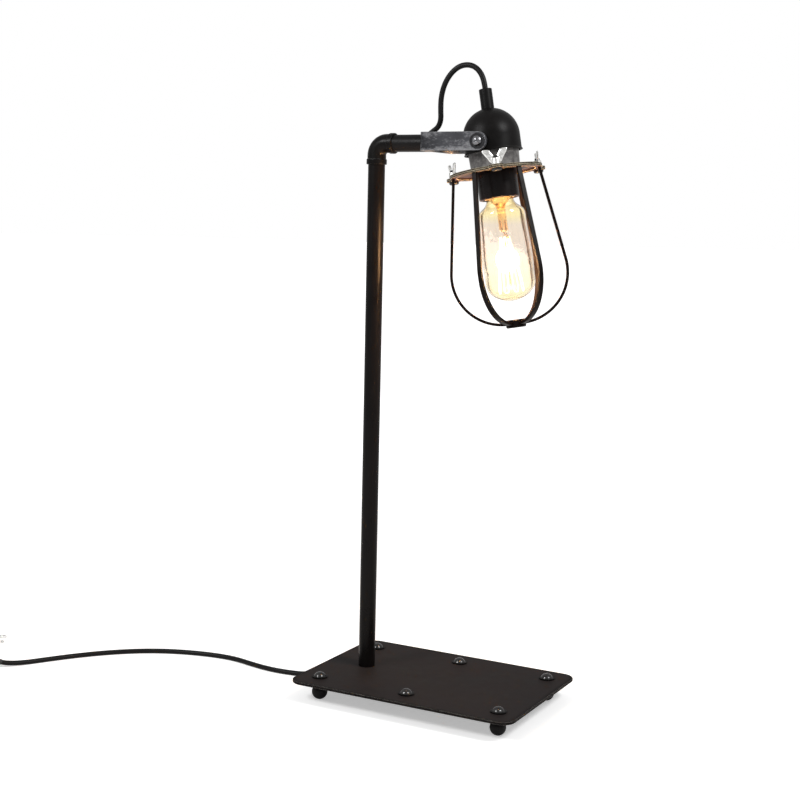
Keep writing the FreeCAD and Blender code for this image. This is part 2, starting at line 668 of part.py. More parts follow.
# Dome: a spun shell with a flat seat on its crown, a flared rim and two pivot holes
dome_r = S.dome_outer / 2
dome_in = dome_r - S.dome_wall
dome_z = S.dome_top - dome_r
seat_r = S.relief_outer / 2 + 0.4
seat_z = dome_z + root(dome_r * dome_r - seat_r * seat_r)
under_r = S.cap_neck / 2 + 0.4
under_z = dome_z + root(dome_in * dome_in - under_r * under_r)
hole_r = S.top_nipple / 2 + S.fit_gap
lip_z = S.lip_height - S.dome_bottom
dome = keep(new_body("dome"))
revolve(dome, [
    (hole_r, under_z), (under_r, under_z), (dome_in, dome_z, 0, dome_z, -1),
    (dome_in, -S.dome_bottom), (dome_r + S.dome_lip, -S.dome_bottom), (dome_r, lip_z),
    (dome_r, dome_z), (seat_r, seat_z, 0, dome_z, 1), (hole_r, seat_z)])
pocket(dome, "XZ_Plane", [("circle", 0, 0, S.pivot_screw / 2 + S.fit_gap)], dome_r * 3,
       symmetric=True)
head_place(dome)

# Pivot: screws through the straps into round nuts in the dome, with washers and spacers
shank_end = dome_in - S.pivot_nut_height
head_seat = outer_y + S.pivot_washer_thickness + S.pivot_gap
half_pivot = S.pivot_head / 2
pivot_drop = (half_pivot * half_pivot - S.pivot_rise * S.pivot_rise) / (2 * S.pivot_rise)
screw = turned("pivot_screw_piece", [
    (0, shank_end), (S.pivot_screw / 2, shank_end), (S.pivot_screw / 2, head_seat),
    (half_pivot, head_seat), (0, head_seat + S.pivot_rise, 0, head_seat - pivot_drop, 1)])
near_side = Rotation(Vector(1, 0, 0), 90)
far_side = Rotation(Vector(1, 0, 0), -90)
head_copies("pivot_screws", screw, [moved(rotation=near_side), moved(rotation=far_side)])
pivot_washer = turned("pivot_washer_piece", ring(
    S.pivot_washer / 2, S.pivot_screw / 2 + S.run_gap, outer_y,
    outer_y + S.pivot_washer_thickness))
copies("pivot_washers", pivot_washer, [
    moved(pivot_x, 0, S.arm_height, side) for side in (near_side, far_side)])


def between(label, outer, inner, low, high, keep_outside, wall):
    """A pair of rings on the pivot axis, with the end that meets the dome cut to its curve."""
    pair = []
    for i, side in enumerate((-90, 90)):
        body = turned(f"{label}_{i}", ring(outer, inner, low, high))
        body.Placement = moved(rotation=Rotation(Vector(1, 0, 0), side))
        drum = doc.addObject("Part::Cylinder", f"{label}_drum_{i}")
        for name, cell in (("Radius", wall), ("Height", outer * 4)):
            setattr(drum, name, number(cell))
            bind(drum, name, cell)
        place(drum, 0, 0, -outer * 2)
        cut = doc.addObject("Part::Cut" if keep_outside else "Part::Common", f"{label}_cut_{i}")
        cut.Base, cut.Tool = body, drum
        pair.append(cut)
    group = doc.addObject("Part::Compound", label)
    group.Links = pair
    return keep(head_place(group), label)


between("pivot_spacers", S.spacer_outer / 2, S.pivot_screw / 2 + S.fit_gap, dome_in,
        inner_y - S.pivot_gap, True, dome_r + S.fit_gap)
between("pivot_nuts", S.pivot_nut / 2, S.pivot_screw / 2 + S.fit_gap, shank_end, dome_r,
        False, dome_in - S.fit_gap)

# Crown: nipple and strain relief above the dome
nipple = turned("top_nipple", ring(
    S.top_nipple / 2, S.top_nipple_bore / 2, seat_z - S.top_nipple_down, seat_z + S.top_nipple_up))
keep(head_place(nipple))
relief_r = S.relief_outer / 2
relief_top = seat_z + S.relief_length
cord_hole = cord_radius + S.fit_gap
relief = turned("strain_relief", [
    (hole_r, seat_z), (relief_r, seat_z), (relief_r, relief_top - S.relief_round),
    (relief_r - S.relief_round, relief_top, relief_r - S.relief_round,
     relief_top - S.relief_round, 1),
    (cord_hole, relief_top), (cord_hole, seat_z + S.top_nipple_up), (hole_r, seat_z + S.top_nipple_up)])
keep(head_place(relief))

# Lamp holder: cap, sleeve, insulator, screw shell and contact
plate_z = -S.cage_plate_top
neck_r = (S.holder_cap_outer / 2 - S.holder_cap_wall)
cap_r = S.holder_cap_outer / 2
cap_z = S.holder_cap_top
holder_cap = turned("holder_cap", [
    (hole_r, cap_z - 3), (neck_r + S.fit_gap, cap_z - 3), (neck_r + S.fit_gap, plate_z),
    (cap_r, plate_z), (cap_r, cap_z - 2), (cap_r - 2, cap_z, cap_r - 2, cap_z - 2, 1),
    (S.cap_neck / 2, cap_z), (S.cap_neck / 2, under_z), (hole_r, under_z)])
keep(head_place(holder_cap))
sleeve_r = S.sleeve_outer / 2
sleeve_in = S.sleeve_bore / 2
shoulder_z = plate_z - S.sheet_thickness
sleeve = turned("holder_sleeve", [
    (sleeve_in, -S.sleeve_bottom), (sleeve_r - 0.6, -S.sleeve_bottom),
    (sleeve_r, 0.6 - S.sleeve_bottom), (sleeve_r, shoulder_z), (neck_r, shoulder_z),
    (neck_r, -S.sleeve_neck_top), (sleeve_in, -S.sleeve_neck_top)])
keep(head_place(sleeve))
shell_r = S.shell_outer / 2
shell_in = shell_r - S.shell_wall
insulator_r = sleeve_in - S.fit_gap
insulator = turned("holder_insulator", [
    (0, -S.shell_top), (shell_in - 0.4, -S.shell_top), (shell_in - 0.4, -S.shell_top - 2),
    (shell_r + 0.3, -S.shell_top - 2), (insulator_r, -S.shell_top - 2),
    (insulator_r, -S.insert_top), (0, -S.insert_top)])
keep(head_place(insulator))
shell_low = -S.shell_bottom
shell = turned("screw_shell", [
    (shell_in, shell_low), (shell_r, shell_low), (shell_r, -S.shell_top - 2),
    (shell_in - 0.4, -S.shell_top - 2), (shell_in - 0.4, -S.shell_top - 2 - S.shell_wall),
    (shell_in, -S.shell_top - 2 - S.shell_wall)])
keep(head_place(shell))
bulb_top = S.bulb_length - S.bulb_tip
contact = turned("centre_contact", rod(2.4, bulb_top, -S.shell_top))
keep(head_place(contact))

# Collar: a tapered drum from the cage plate up into the dome, flanged to centre the dome
top_r = S.collar_top / 2
low_r = S.collar_bottom / 2
rim_z = S.collar_hide - S.dome_bottom
wall = S.collar_wall
collar = turned("collar", [
    (low_r - wall, plate_z), (low_r, plate_z), (top_r, rim_z - wall), (dome_in - S.fit_gap, rim_z - wall),
    (dome_in - S.fit_gap, rim_z), (top_r - wall, rim_z)])
keep(head_place(collar))


# Cage plate and cage ring: flat sheets with three ears, one above the other
def eared(label, hole, high):
    body = keep(new_body(label))
    disc, circle, end = S.disc_radius, S.ear_radius, S.ear_round
    pad(body, "XY_Plane", [("circle", 0, 0, disc)], S.sheet_thickness, lift=high, reverse=True)
    ear = pad(body, "XY_Plane", [[
        (disc - 4, -end), (circle, -end), (circle, end, circle, 0, 1), (disc - 4, end)]],
        S.sheet_thickness, lift=high, reverse=True)
    pattern = body.newObject("PartDesign::PolarPattern", label + "Ears")
    pattern.Originals = [ear]
    pattern.Axis = ([p for p in body.Origin.OriginFeatures if p.Role == "Z_Axis"][0], [""])
    pattern.Angle = 360
    pattern.Occurrences = int(S.ear_count.value)
    bind(pattern, "Occurrences", S.ear_count)
    body.Tip = pattern
    doc.recompute()
    screws = []
    for i in range(int(S.ear_count.value)):
        angle = math.radians(360 * i / S.ear_count.value)
        screws.append(("circle", circle * math.cos(angle), circle * math.sin(angle),
                       S.cage_screw / 2 + S.fit_gap))
    pocket(body, "XY_Plane", [("circle", 0, 0, hole)] + screws, S.cage_plate_top * 4, symmetric=True)
    return head_place(body, 60 + S.clock.value)


eared("cage_plate", neck_r + S.fit_gap, plate_z)
eared("cage_ring", S.ring_inner, shoulder_z)

# Ribs: flat strips that run down from the ring, straight and then round, into the boss
ring_z = shoulder_z - S.sheet_thickness
round_z = S.rib_round - S.cage_bottom


def rib_side(offset):
    """Start at the ring, tangent point and circle of the rib's centreline moved out by offset."""
    radius = S.rib_round + offset
    dx, dz = S.rib_start - S.rib_offset, ring_z - round_z
    far = dx * dx + dz * dz
    along = root(far - S.rib_round * S.rib_round)
    # unit direction of the straight run, found once on the centreline
    tx = S.rib_offset + (S.rib_round * (S.rib_round * dx + along * dz)) / far
    tz = round_z + (S.rib_round * (S.rib_round * dz - along * dx)) / far
    drop = (ring_z - tz) / along
    start = S.rib_start + offset / drop
    nx, nz = (tx - S.rib_offset) / S.rib_round, (tz - round_z) / S.rib_round
    return start, S.rib_offset + radius * nx, round_z + radius * nz, radius


half = S.rib_thickness / 2
out_x, out_tx, out_tz, out_r = rib_side(half)
in_x, in_tx, in_tz, in_r = rib_side(-half)
boss_r = S.boss_outer / 2
rib_end = boss_r - S.boss_slot
out_end = round_z - root(out_r * out_r - (rib_end - S.rib_offset) * (rib_end - S.rib_offset))
in_end = round_z - root(in_r * in_r - (rib_end - S.rib_offset) * (rib_end - S.rib_offset))
rib_loop = [
    (in_x, ring_z), (in_tx, in_tz), (rib_end, in_end, S.rib_offset, round_z, -1),
    (rib_end, out_end), (out_tx, out_tz, S.rib_offset, round_z, 1), (out_x, ring_z)]
rib_count = 2 * int(S.ear_count.value)
for i in range(rib_count):
    rib = keep(new_body(f"cage_rib_{i + 1}"))
    pad(rib, "XZ_Plane", [rib_loop], S.rib_width, symmetric=True)
    head_place(rib, 30 + 360 * i / rib_count + S.clock.value)

# Boss: a bevelled puck slotted for the rib ends
boss = keep(new_body("cage_boss"))
low, high = -S.cage_bottom - S.boss_height / 2, S.boss_height / 2 - S.cage_bottom
edge = S.boss_edge
revolve(boss, [(0, low), (boss_r - edge, low), (boss_r, low + edge), (boss_r, high - edge),
               (boss_r - edge, high), (0, high)])
doc.recompute()
solid = boss.Shape.Volume
slot = boss.newObject("PartDesign::Pocket", "BossSlot")
slot_half = S.rib_width / 2 + S.fit_gap
slot.Profile = sketch_on(boss, "XZ_Plane", [[
    (rib_end - S.fit_gap, high + 1), (rib_end - S.fit_gap, out_end - 1.2),
    (boss_r + 1, out_end - 1.2), (boss_r + 1, high + 1)]])
slot.Type = "Length"
slot.Length = number(slot_half * 2)
bind(slot, "Length", slot_half * 2)
slot.SideType = "Symmetric"
doc.recompute()
slots = boss.newObject("PartDesign::PolarPattern", "BossSlots")
slots.Originals = [slot]
slots.Axis = ([p for p in boss.Origin.OriginFeatures if p.Role == "Z_Axis"][0], [""])
slots.Angle = 360
slots.Occurrences = rib_count
boss.Tip = slots
doc.recompute()
if not boss.Shape.Volume < solid - 5:
    raise SystemExit("the boss has no slots")
head_place(boss, 30 + S.clock.value)

# Cage screws from below and wing nuts on top of the ears
half_screw = S.cage_screw_head / 2
screw_low = ring_z - S.cage_screw_rise
cage_screw = turned("cage_screw_piece", [
    (0, screw_low), (half_screw - 1, screw_low),
    (half_screw, screw_low + 1, half_screw - 1, screw_low + 1, 1), (half_screw, ring_z),
    (S.cage_screw / 2, ring_z), (S.cage_screw / 2, plate_z + S.cage_screw_show),
    (0, plate_z + S.cage_screw_show)])
wing = new_body("wing_nut_piece")
revolve(wing, [
    (0, 0), (S.wing_boss / 2, 0), (S.wing_boss / 2 - 0.6, S.wing_boss_height),
    (0, S.wing_boss_height)])
tip, top, blade, boss_half = S.wing_span / 2, S.wing_height, S.wing_blade, S.wing_boss / 2
for side in (1, -1):
    pad(wing, "XZ_Plane", [[
        (side * (boss_half - 2), 0.8), (side * (boss_half + 1.2), 0.8),
        (side * tip, top - 2.6), (side * (tip - 1.4), top - 0.3),
        (side * (tip - blade + 0.8), top), (side * (boss_half - 2), S.wing_boss_height - 0.2)]],
        S.wing_thickness, symmetric=True)
pocket(wing, "XY_Plane", [("circle", 0, 0, S.cage_screw / 2 + S.fit_gap)], S.wing_height * 4,
       symmetric=True)
ears = []
for i in range(int(S.ear_count.value)):
    spin = Placement(Vector(), Rotation(Vector(0, 0, 1), 60 + S.clock.value
                                        + 360 * i / S.ear_count.value))
    ears.append(spin)
wing_turns = [Rotation(Vector(0, 0, 1), turn.value)
              for turn in (S.wing_turn_back, S.wing_turn_left, S.wing_turn_front)]
head_copies("cage_screws", cage_screw, [spin.multiply(moved(S.ear_radius)) for spin in ears])
head_copies("wing_nuts", wing, [
    spin.multiply(moved(S.ear_radius, 0, plate_z, turn)) for spin, turn in zip(ears, wing_turns)])

# Bulb: brass cap with insulator and contact, clear glass with a stem and a looped filament
cap_low = bulb_top - 4 - S.bulb_cap_length
cap_in = S.bulb_cap_outer / 2
bulb_cap = turned("bulb_cap", [
    (cap_in - 1, cap_low), (cap_in, cap_low), (cap_in, bulb_top - 5),
    (cap_in - 1, bulb_top - 4), (cap_in - 1.8, bulb_top - 4), (cap_in - 1, bulb_top - 5)])
keep(head_place(bulb_cap))
bulb_insulator = turned("bulb_insulator", [
    (0, bulb_top - 5), (cap_in - 1.9, bulb_top - 5), (cap_in - 1.9, bulb_top - 3.4), (5, bulb_top - 1),
    (0, bulb_top - 1)])
keep(head_place(bulb_insulator))
bulb_contact = turned("bulb_contact", rod(4.4, bulb_top - 1, bulb_top))
keep(head_place(bulb_contact))
tip_z = -S.bulb_tip
glass_rows = [
    (cap_in - 1.1, cap_low + 6), (cap_in - 1.1, cap_low - 1), (S.bulb_waist, cap_low - 6),
    (S.bulb_shoulder, -S.sleeve_bottom - 11), (S.bulb_belly - 1.7, -S.sleeve_bottom - 18),
    (S.bulb_belly - 1.2, -S.sleeve_bottom - 31), (S.bulb_belly, -S.sleeve_bottom - 56),
    (S.bulb_belly - 0.5, tip_z + S.bulb_dome)]


def domed_end(side, inset):
    """Corner arc and crown arc from the end of the glass's side to its tip, set in by a wall."""
    corner = S.bulb_corner.value
    reach, rise = side.x - corner, S.bulb_dome.value
    crown = (reach ** 2 + rise ** 2 - corner ** 2) / (2 * (rise - corner))
    corner_at = Vector(reach, 0, side.z)
    crown_at = Vector(0, 0, tip_z.value + crown)
    way = (corner_at - crown_at).normalize()
    start, end = Vector(side.x - inset, 0, side.z), Vector(0, 0, tip_z.value + inset)
    corner, crown = corner - inset, crown - inset
    joint = corner_at + way * corner
    between_ways = (Vector(1, 0, 0) + way).normalize()
    towards_tip = (way - Vector(0, 0, 1)).normalize()
    return [Part.Arc(start, corner_at + between_ways * corner, joint).toShape(),
            Part.Arc(joint, crown_at + towards_tip * crown, end).toShape()]


def glass_face():
    """Half section of the glass: a smooth curve through the rows and a domed end, with its wall."""
    outer = [Vector(number(r), 0, number(z)) for r, z in glass_rows]
    down = Vector(0, 0, -1)
    curve = Part.BSplineCurve()
    curve.interpolate(outer, InitialTangent=down, FinalTangent=down, Scale=False)
    wall = S.glass_wall.value
    inner = []
    steps = 40
    first, last = curve.FirstParameter, curve.LastParameter
    for i in range(steps + 1):
        at = first + (last - first) * i / steps
        slope = curve.tangent(at)[0]
        inner.append(curve.value(at) - Vector(-slope.z, 0, slope.x) * wall)
    inner[0].z, inner[-1].z = outer[0].z, outer[-1].z
    inner[-1].x = outer[-1].x - wall
    inside = Part.BSplineCurve()
    inside.interpolate(inner, InitialTangent=down, FinalTangent=down, Scale=False)
    tips = [Vector(0, 0, tip_z.value), Vector(0, 0, tip_z.value + wall)]
    edges = [curve.toShape(), *domed_end(outer[-1], 0), Part.LineSegment(*tips).toShape(),
             *domed_end(outer[-1], wall), inside.toShape(),
             Part.LineSegment(inner[0], outer[0]).toShape()]
    return Part.Face(Part.Wire(Part.__sortEdges__(edges)))


glass = doc.addObject("Part::Feature", "bulb_glass")
glass.Shape = glass_face().revolve(Vector(), Vector(0, 0, 1), 360)
keep(head_place(glass), "bulb_glass")
stem_r = S.stem_outer / 2
stem_low = cap_low - S.stem_length
stem = turned("bulb_stem", [
    (0, stem_low), (stem_r - 1, stem_low), (stem_r, stem_low + 1), (stem_r, cap_low - 8),
    (cap_in - 3, cap_low), (0, cap_low)])
keep(head_place(stem))


def rounded_path(points, radii=None, most=None):
    """Straight runs joined by tangent arcs. Gives the wire, its length and the arc radii."""
    points = [Vector(*p) for p in points]
    edges, found, here = [], [], points[0]
    for i in range(1, len(points) - 1):
        into, out = points[i] - points[i - 1], points[i + 1] - points[i]
        turn = into.getAngle(out)
        radius = radii[i - 1] if radii else 0.45 * min(into.Length, out.Length) / math.tan(turn / 2)
        if most:
            radius = min(radius, most)
        cut = radius * math.tan(turn / 2)
        into.normalize()
        out.normalize()
        start, end = points[i] - into * cut, points[i] + out * cut
        inward = (out - into).normalize()
        middle = points[i] + inward * (radius / math.cos(turn / 2) - radius)
        if (start - here).Length > 1e-7:
            edges.append(Part.LineSegment(here, start).toShape())
        edges.append(Part.Arc(start, middle, end).toShape())
        found.append(radius)
        here = end
    edges.append(Part.LineSegment(here, points[-1]).toShape())
    return Part.Wire(edges), sum(edge.Length for edge in edges), found


def tube_along(label, wire, diameter, length):
    """A round tube swept along a wire; its volume must be its section times its length."""
    start = wire.Edges[0]
    point, tangent = start.valueAt(start.FirstParameter), start.tangentAt(start.FirstParameter)
    ring_edge = Part.Circle(point, tangent, diameter / 2).toShape()
    solid = wire.makePipeShell([Part.Wire([ring_edge])], True, False)
    expected = math.pi * diameter ** 2 / 4 * length
    if not solid.isValid() or abs(abs(solid.Volume) / expected - 1) > 0.01:
        raise SystemExit(f"{label}: volume {solid.Volume:.1f}, expected {expected:.1f}")
    obj = doc.addObject("Part::Feature", label)
    obj.Shape = Part.Solid(solid.Shells[0]) if solid.ShapeType != "Solid" else solid
    return keep(obj, label)


def cord_tube(label, points, radii=None):
    wire, length, found = rounded_path(points, radii)
    print(f"{label}: {length:.1f} long, radii", " ".join(f"{r:.1f}" for r in found))
    return tube_along(label, wire, S.cord.value, length)


# Filament: one wire that rises and falls round the stem, hung between the stem and the tip
turns = 5
low_z = tip_z.value + S.filament_low.value
high_z = stem_low.value - 6
loops = []
for i in range(turns):
    a0 = 2 * math.pi * (i + 0.15) / turns
    a1 = 2 * math.pi * (i + 0.65) / turns
    for radius, angle, z in ((S.filament_top.value, a0, high_z), (S.filament_wide.value, a1, low_z)):
        loops.append((radius * math.cos(angle), radius * math.sin(angle), z))
wire, length, _ = rounded_path(
    [(0.8, 0, stem_low.value), (0.8, 0, stem_low.value - 2.4)] + loops
    + [(-0.8, 0, stem_low.value - 2.4), (-0.8, 0, stem_low.value)], most=2.0)
head_place(tube_along("filament", wire, S.filament_wire.value, length))

# Lead through the stand: from the wire notch along the arm, round the elbow, down the column and out
# through the base nipple to the clip under the plate
ax, az = web_x.value, S.arm_height.value
cx = column_x.value
px = S.plate_x.value
cord_d = S.cord.value
slope = math.radians(35)
joint_x, joint_z = ax - 6.9, az + tube_radius.value - 0.9
knee_x = joint_x - (joint_z - az) / math.tan(slope)
clip_face = S.plate_x + S.clip_inset - S.plate_length / 2
clip_x = clip_face.value
lead_z = nipple_mouth.value - S.base_bend.value
lead = cord_tube("inner_lead", [
    (joint_x, 0, joint_z), (knee_x, 0, az), (cx, 0, az), (cx, 0, lead_z), (clip_x, 0, lead_z)],
    [12.0, S.elbow_bend.value, S.base_bend.value])

# Clip under the plate: a pad with a loop round the lead
clip = keep(new_body("cord_clip"))
drop = plate_bottom - (nipple_mouth - S.base_bend)
loop_r = cord_radius + S.clip_wall
pad(clip, "YZ_Plane", [[
    (S.clip_pad / 2, -S.clip_pad_thickness), (S.clip_pad / 2, 0), (-S.clip_pad / 2, 0),
    (-S.clip_pad / 2, -S.clip_pad_thickness), (-loop_r, -S.clip_pad_thickness), (-loop_r, -drop),
    (loop_r, -drop, 0, -drop, 1), (loop_r, -S.clip_pad_thickness)]], S.clip_length)
pocket(clip, "YZ_Plane", [("circle", 0, -drop, cord_radius + S.fit_gap)], S.clip_length * 3,
       symmetric=True)
place(clip, clip_face, 0, plate_bottom)

# Cord loop over the head: from the notch over the web, up and over into the strain relief
sin_t, cos_t = math.sin(math.radians(S.tilt.value)), math.cos(math.radians(S.tilt.value))
mouth = relief_top.value
mx, mz = pivot_x.value - sin_t * mouth, az + cos_t * mouth
ox, oz = pivot_x.value - 45.0, az
loop_points = [(joint_x, 0, joint_z), (joint_x + 5.6, 0, joint_z + 5.6 * math.tan(slope))]
loop_points += [(ox + x, y, oz + z) for x, y, z in (
    (-9.6, -0.3, 14.6), (-6.9, -0.8, 20.8), (-7.2, -1.4, 30.4), (-6.9, -1.8, 41.0),
    (-4.2, -1.9, 51.6), (0.8, -1.7, 60.4), (7.6, -1.2, 67.0), (15.4, -0.6, 69.9),
    (23.9, -0.2, 68.9), (30.6, 0, 63.8))]
loop_points += [(mx - sin_t * 8.0, 0, mz + cos_t * 8.0), (mx, 0, mz)]
cord_tube("loop_cord", loop_points)
head_lead = turned("head_lead", rod(
    cord_radius, cap_z - 3.2, relief_top))
keep(head_place(head_lead))

# Mains cord: from the clip down to the floor, then away to the left as far as the switch
rest = S.floor_gap.value + cord_d / 2
heading = math.radians(S.switch_heading.value)
hx, hy = math.cos(heading), math.sin(heading)
ex, ey = px + S.switch_x.value, S.switch_y.value
switch_z = S.switch_split.value
floor_points = [
    (-155.4, -11.9), (-172.7, -13.1), (-189.2, -11.7), (-206.0, -8.4), (-221.5, -4.6),
    (-238.0, -3.2), (-260.3, -5.6), (-290.7, -13.9), (-319.1, -28.2), (-343.0, -47.6),
    (-363.4, -70.6), (-381.1, -96.0)]
mains = [(clip_x, 0, lead_z), (clip_x - 9.0, 0, lead_z), (clip_x - 20.0, -3.2, lead_z - 2.6),
         (clip_x - 32.0, -8.6, rest)]
mains += [(px + x, y, rest) for x, y in floor_points]
mains += [(ex - 28.0 * hx + 1.5, ey - 28.0 * hy + 3.0, rest), (ex - 12.0 * hx, ey - 12.0 * hy, switch_z),
          (ex, ey, switch_z)]
cord_tube("mains_cord", mains)


# Switch: two casing halves round the cord with a rocker on a pin
def along_cord(obj, x, y, z=0.0, turn=0.0):
    obj.Placement = Placement(
        Vector(x, y, z), Rotation(Vector(0, 0, 1), S.switch_heading.value + turn))
    return obj


sl, sw, se = S.switch_length, S.switch_width / 2, S.switch_end / 2
casing = [(0, -se), (4, -se), (14, -sw), (sl - 14, -sw), (sl - 4, -se), (sl, -se),
          (sl, se), (sl - 4, se), (sl - 14, sw), (14, sw), (4, se), (0, se)]
mid = sl / 2
well_x, well_y = S.rocker_length / 2 + S.rocker_gap, S.rocker_width / 2 + S.rocker_gap
well = [(mid - well_x, -well_y), (mid + well_x, -well_y), (mid + well_x, well_y),
        (mid - well_x, well_y)]
split, lid = S.switch_split, S.switch_height - S.switch_split
pin_z = S.rocker_pin_height
lower = keep(new_body("switch_base"))
pad(lower, "XY_Plane", [casing], split)
soften(lower, S.switch_round - 0.6, at_height(0))
upper = keep(new_body("switch_cover"))
pad(upper, "XY_Plane", [casing], lid, lift=split)
soften(upper, S.switch_round, at_height(S.switch_height))
pocket(upper, "XY_Plane", [well], S.switch_height * 3, symmetric=True)
pocket(upper, "XZ_Plane", [("circle", mid, pin_z, S.rocker_pin / 2 + S.run_gap)],
       (well_y + S.switch_wall) * 2, symmetric=True)
pocket(lower, "XY_Plane", [well], lid / 2, lift=split)
for body in (lower, upper):
    along_cord(body, ex, ey)
rocker = keep(new_body("switch_rocker"))
peak = S.switch_height - pin_z + S.rocker_show
tilt_r = math.radians(S.rocker_tilt.value)
rl = S.rocker_length / 2
wing_top = peak + rl * math.tan(tilt_r) * 0.9
pad(rocker, "XZ_Plane", [[
    (-rl + 2.2, -3.4), (rl - 2.2, -3.4), (rl, 0.6), (rl - 0.9, wing_top), (0, peak - 0.4),
    (0.9 - rl, wing_top), (-rl, 0.6)]], S.rocker_width, symmetric=True)
pad(rocker, "XZ_Plane", [("circle", 0, 0, S.rocker_pin / 2)],
    (well_y + S.switch_wall) * 2 - 0.6, symmetric=True)
rocker.Placement = Placement(
    Vector(ex + hx * mid.value, ey + hy * mid.value, pin_z.value),
    Rotation(Vector(0, 0, 1), S.switch_heading.value).multiply(
        Rotation(Vector(0, 1, 0), S.rocker_tilt.value)))

# Short run from the switch to the coil
sx, sy = ex + hx * sl.value, ey + hy * sl.value
coil_in = 62.0
c0x, c0y = sx + hx * coil_in, sy + hy * coil_in
nx, ny = hy, -hx
cord_tube("coil_lead", [
    (sx, sy, switch_z), (sx + hx * 12, sy + hy * 12, switch_z),
    (sx + hx * 28 + nx * 1.4, sy + hy * 28 + ny * 1.4, rest),
    (sx + hx * 45, sy + hy * 45, rest), (c0x, c0y, rest)])

# Coil: half turns that step inward, climb a layer in the half turn where they reverse and step out
# again on top; both ends run straight for one cord diameter
heading_v = Vector(hx, hy, 0)
side_v = Vector(nx, ny, 0)
pitch, halves = S.coil_pitch.value, int(S.coil_halves.value)
radii = [S.coil_radius.value - pitch / 2 * i for i in range(halves)]
radii = radii + [radii[-1] - pitch / 2] + radii[::-1]
at = Vector(c0x, c0y, rest)
edges = [Part.LineSegment(at, at + heading_v * cord_d).toShape()]
at = at + heading_v * cord_d
facing, inward = heading_v, side_v
for i, radius in enumerate(radii):
    climb = Vector(0, 0, S.coil_layer.value if i == halves else 0.0)
    end = at + inward * (2 * radius) + climb
    centre = (at + end) * 0.5
    middle = centre + facing * (end - at).Length * 0.5
    edges.append(Part.Arc(at, middle, end).toShape())
    at, facing, inward = end, facing * -1, inward * -1
edges.append(Part.LineSegment(at, at + facing * cord_d).toShape())
coil_end, coil_way = at + facing * cord_d, facing
coil_wire = Part.Wire(edges)
coil_length = sum(edge.Length for edge in edges)
coil = tube_along("cord_coil", coil_wire, cord_d, coil_length)
samples = []
for edge in edges:
    count = max(2, int(edge.Length / 2.5))
    span = edge.LastParameter - edge.FirstParameter
    samples += [edge.valueAt(edge.FirstParameter + span * k / count) for k in range(count)]
run, places = 0.0, []
for i, point in enumerate(samples):
    run += (point - samples[i - 1]).Length if i else 0.0
    places.append(run)
least = min((samples[i] - samples[j]).Length
            for i in range(len(samples)) for j in range(i + 1, len(samples))
            if places[j] - places[i] > 4 * cord_d)
print(f"cord_coil: {coil_length:.1f} long, {len(radii) / 2} turns, least gap {least - cord_d:.2f}")

# Plug: two round pins in a flat body, with the cord running in from the coil's top layer
wx, wy = coil_way.x, coil_way.y
ux, uy = -wy, wx
plug_z = S.plug_thickness.value / 2
gap_run = 78.0
qx, qy = coil_end.x + wx * gap_run, coil_end.y + wy * gap_run
cord_tube("plug_cord", [
    (coil_end.x, coil_end.y, coil_end.z),
    (coil_end.x + wx * 12, coil_end.y + wy * 12, coil_end.z),
    (coil_end.x + wx * 29 - ux * 3.0, coil_end.y + wy * 29 - uy * 3.0, rest + 1.4),
    (coil_end.x + wx * 46 - ux * 3.6, coil_end.y + wy * 46 - uy * 3.6, rest),
    (coil_end.x + wx * 64, coil_end.y + wy * 64, plug_z), (qx, qy, plug_z)])
plug = keep(new_body("plug_body"))
pl, pw, pn = S.plug_length, S.plug_width / 2, S.plug_neck_length
pad(plug, "XY_Plane", [[
    (pn, -6), (pn + 14, -pw), (pn + pl, -pw), (pn + pl, pw), (pn + 14, pw), (pn, 6)]],
    S.plug_thickness)
soften(plug, S.plug_round, lambda edge: (
    edge.BoundBox.XMax < (pn + pl).value - 1e-6 or edge.BoundBox.ZLength > 1)
    and edge.BoundBox.XMin < (pn + pl).value - 1e-6)
pad(plug, "YZ_Plane", [("circle", 0, S.plug_thickness / 2, S.plug_neck / 2)], pn + 2)
plug_turn = math.degrees(math.atan2(wy, wx))
plug.Placement = Placement(Vector(qx, qy, 0), Rotation(Vector(0, 0, 1), plug_turn))
pin_body = turned("plug_pin_piece", [
    (0, 0), (S.pin_outer / 2, 0), (S.pin_outer / 2, S.pin_length - 1.4),
    (S.pin_outer / 2 - 1.4, S.pin_length, S.pin_outer / 2 - 1.4, S.pin_length - 1.4, 1),
    (0, S.pin_length)])
spin = Placement(Vector(qx, qy, 0), Rotation(Vector(0, 0, 1), plug_turn))
copies("plug_pins", pin_body, [
    spin.multiply(moved(pn + pl, y, S.plug_thickness / 2, along_x))
    for y in (-S.pin_spacing / 2, S.pin_spacing / 2)])

# Check every object, then write each sub-part to its own file
doc.recompute()
for obj in doc.Objects:
    if "Invalid" in obj.State or "Error" in obj.State:
        raise SystemExit(f"{obj.Label} failed: {obj.State}")
os.makedirs("parts", exist_ok=True)
total = 0.0
for obj in nodes:
    shape = obj.Shape
    if shape.isNull() or not shape.isValid() or not shape.Solids:
        raise SystemExit(f"{obj.Label} has no valid solid")
    total += shape.Volume
    shape.exportStep(f"parts/{obj.Label}.step")
print(f"{len(nodes)} nodes, {total / 1000:.1f} cm3")
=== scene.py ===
import math
import bmesh
import bpy
from mathutils import Matrix, Vector


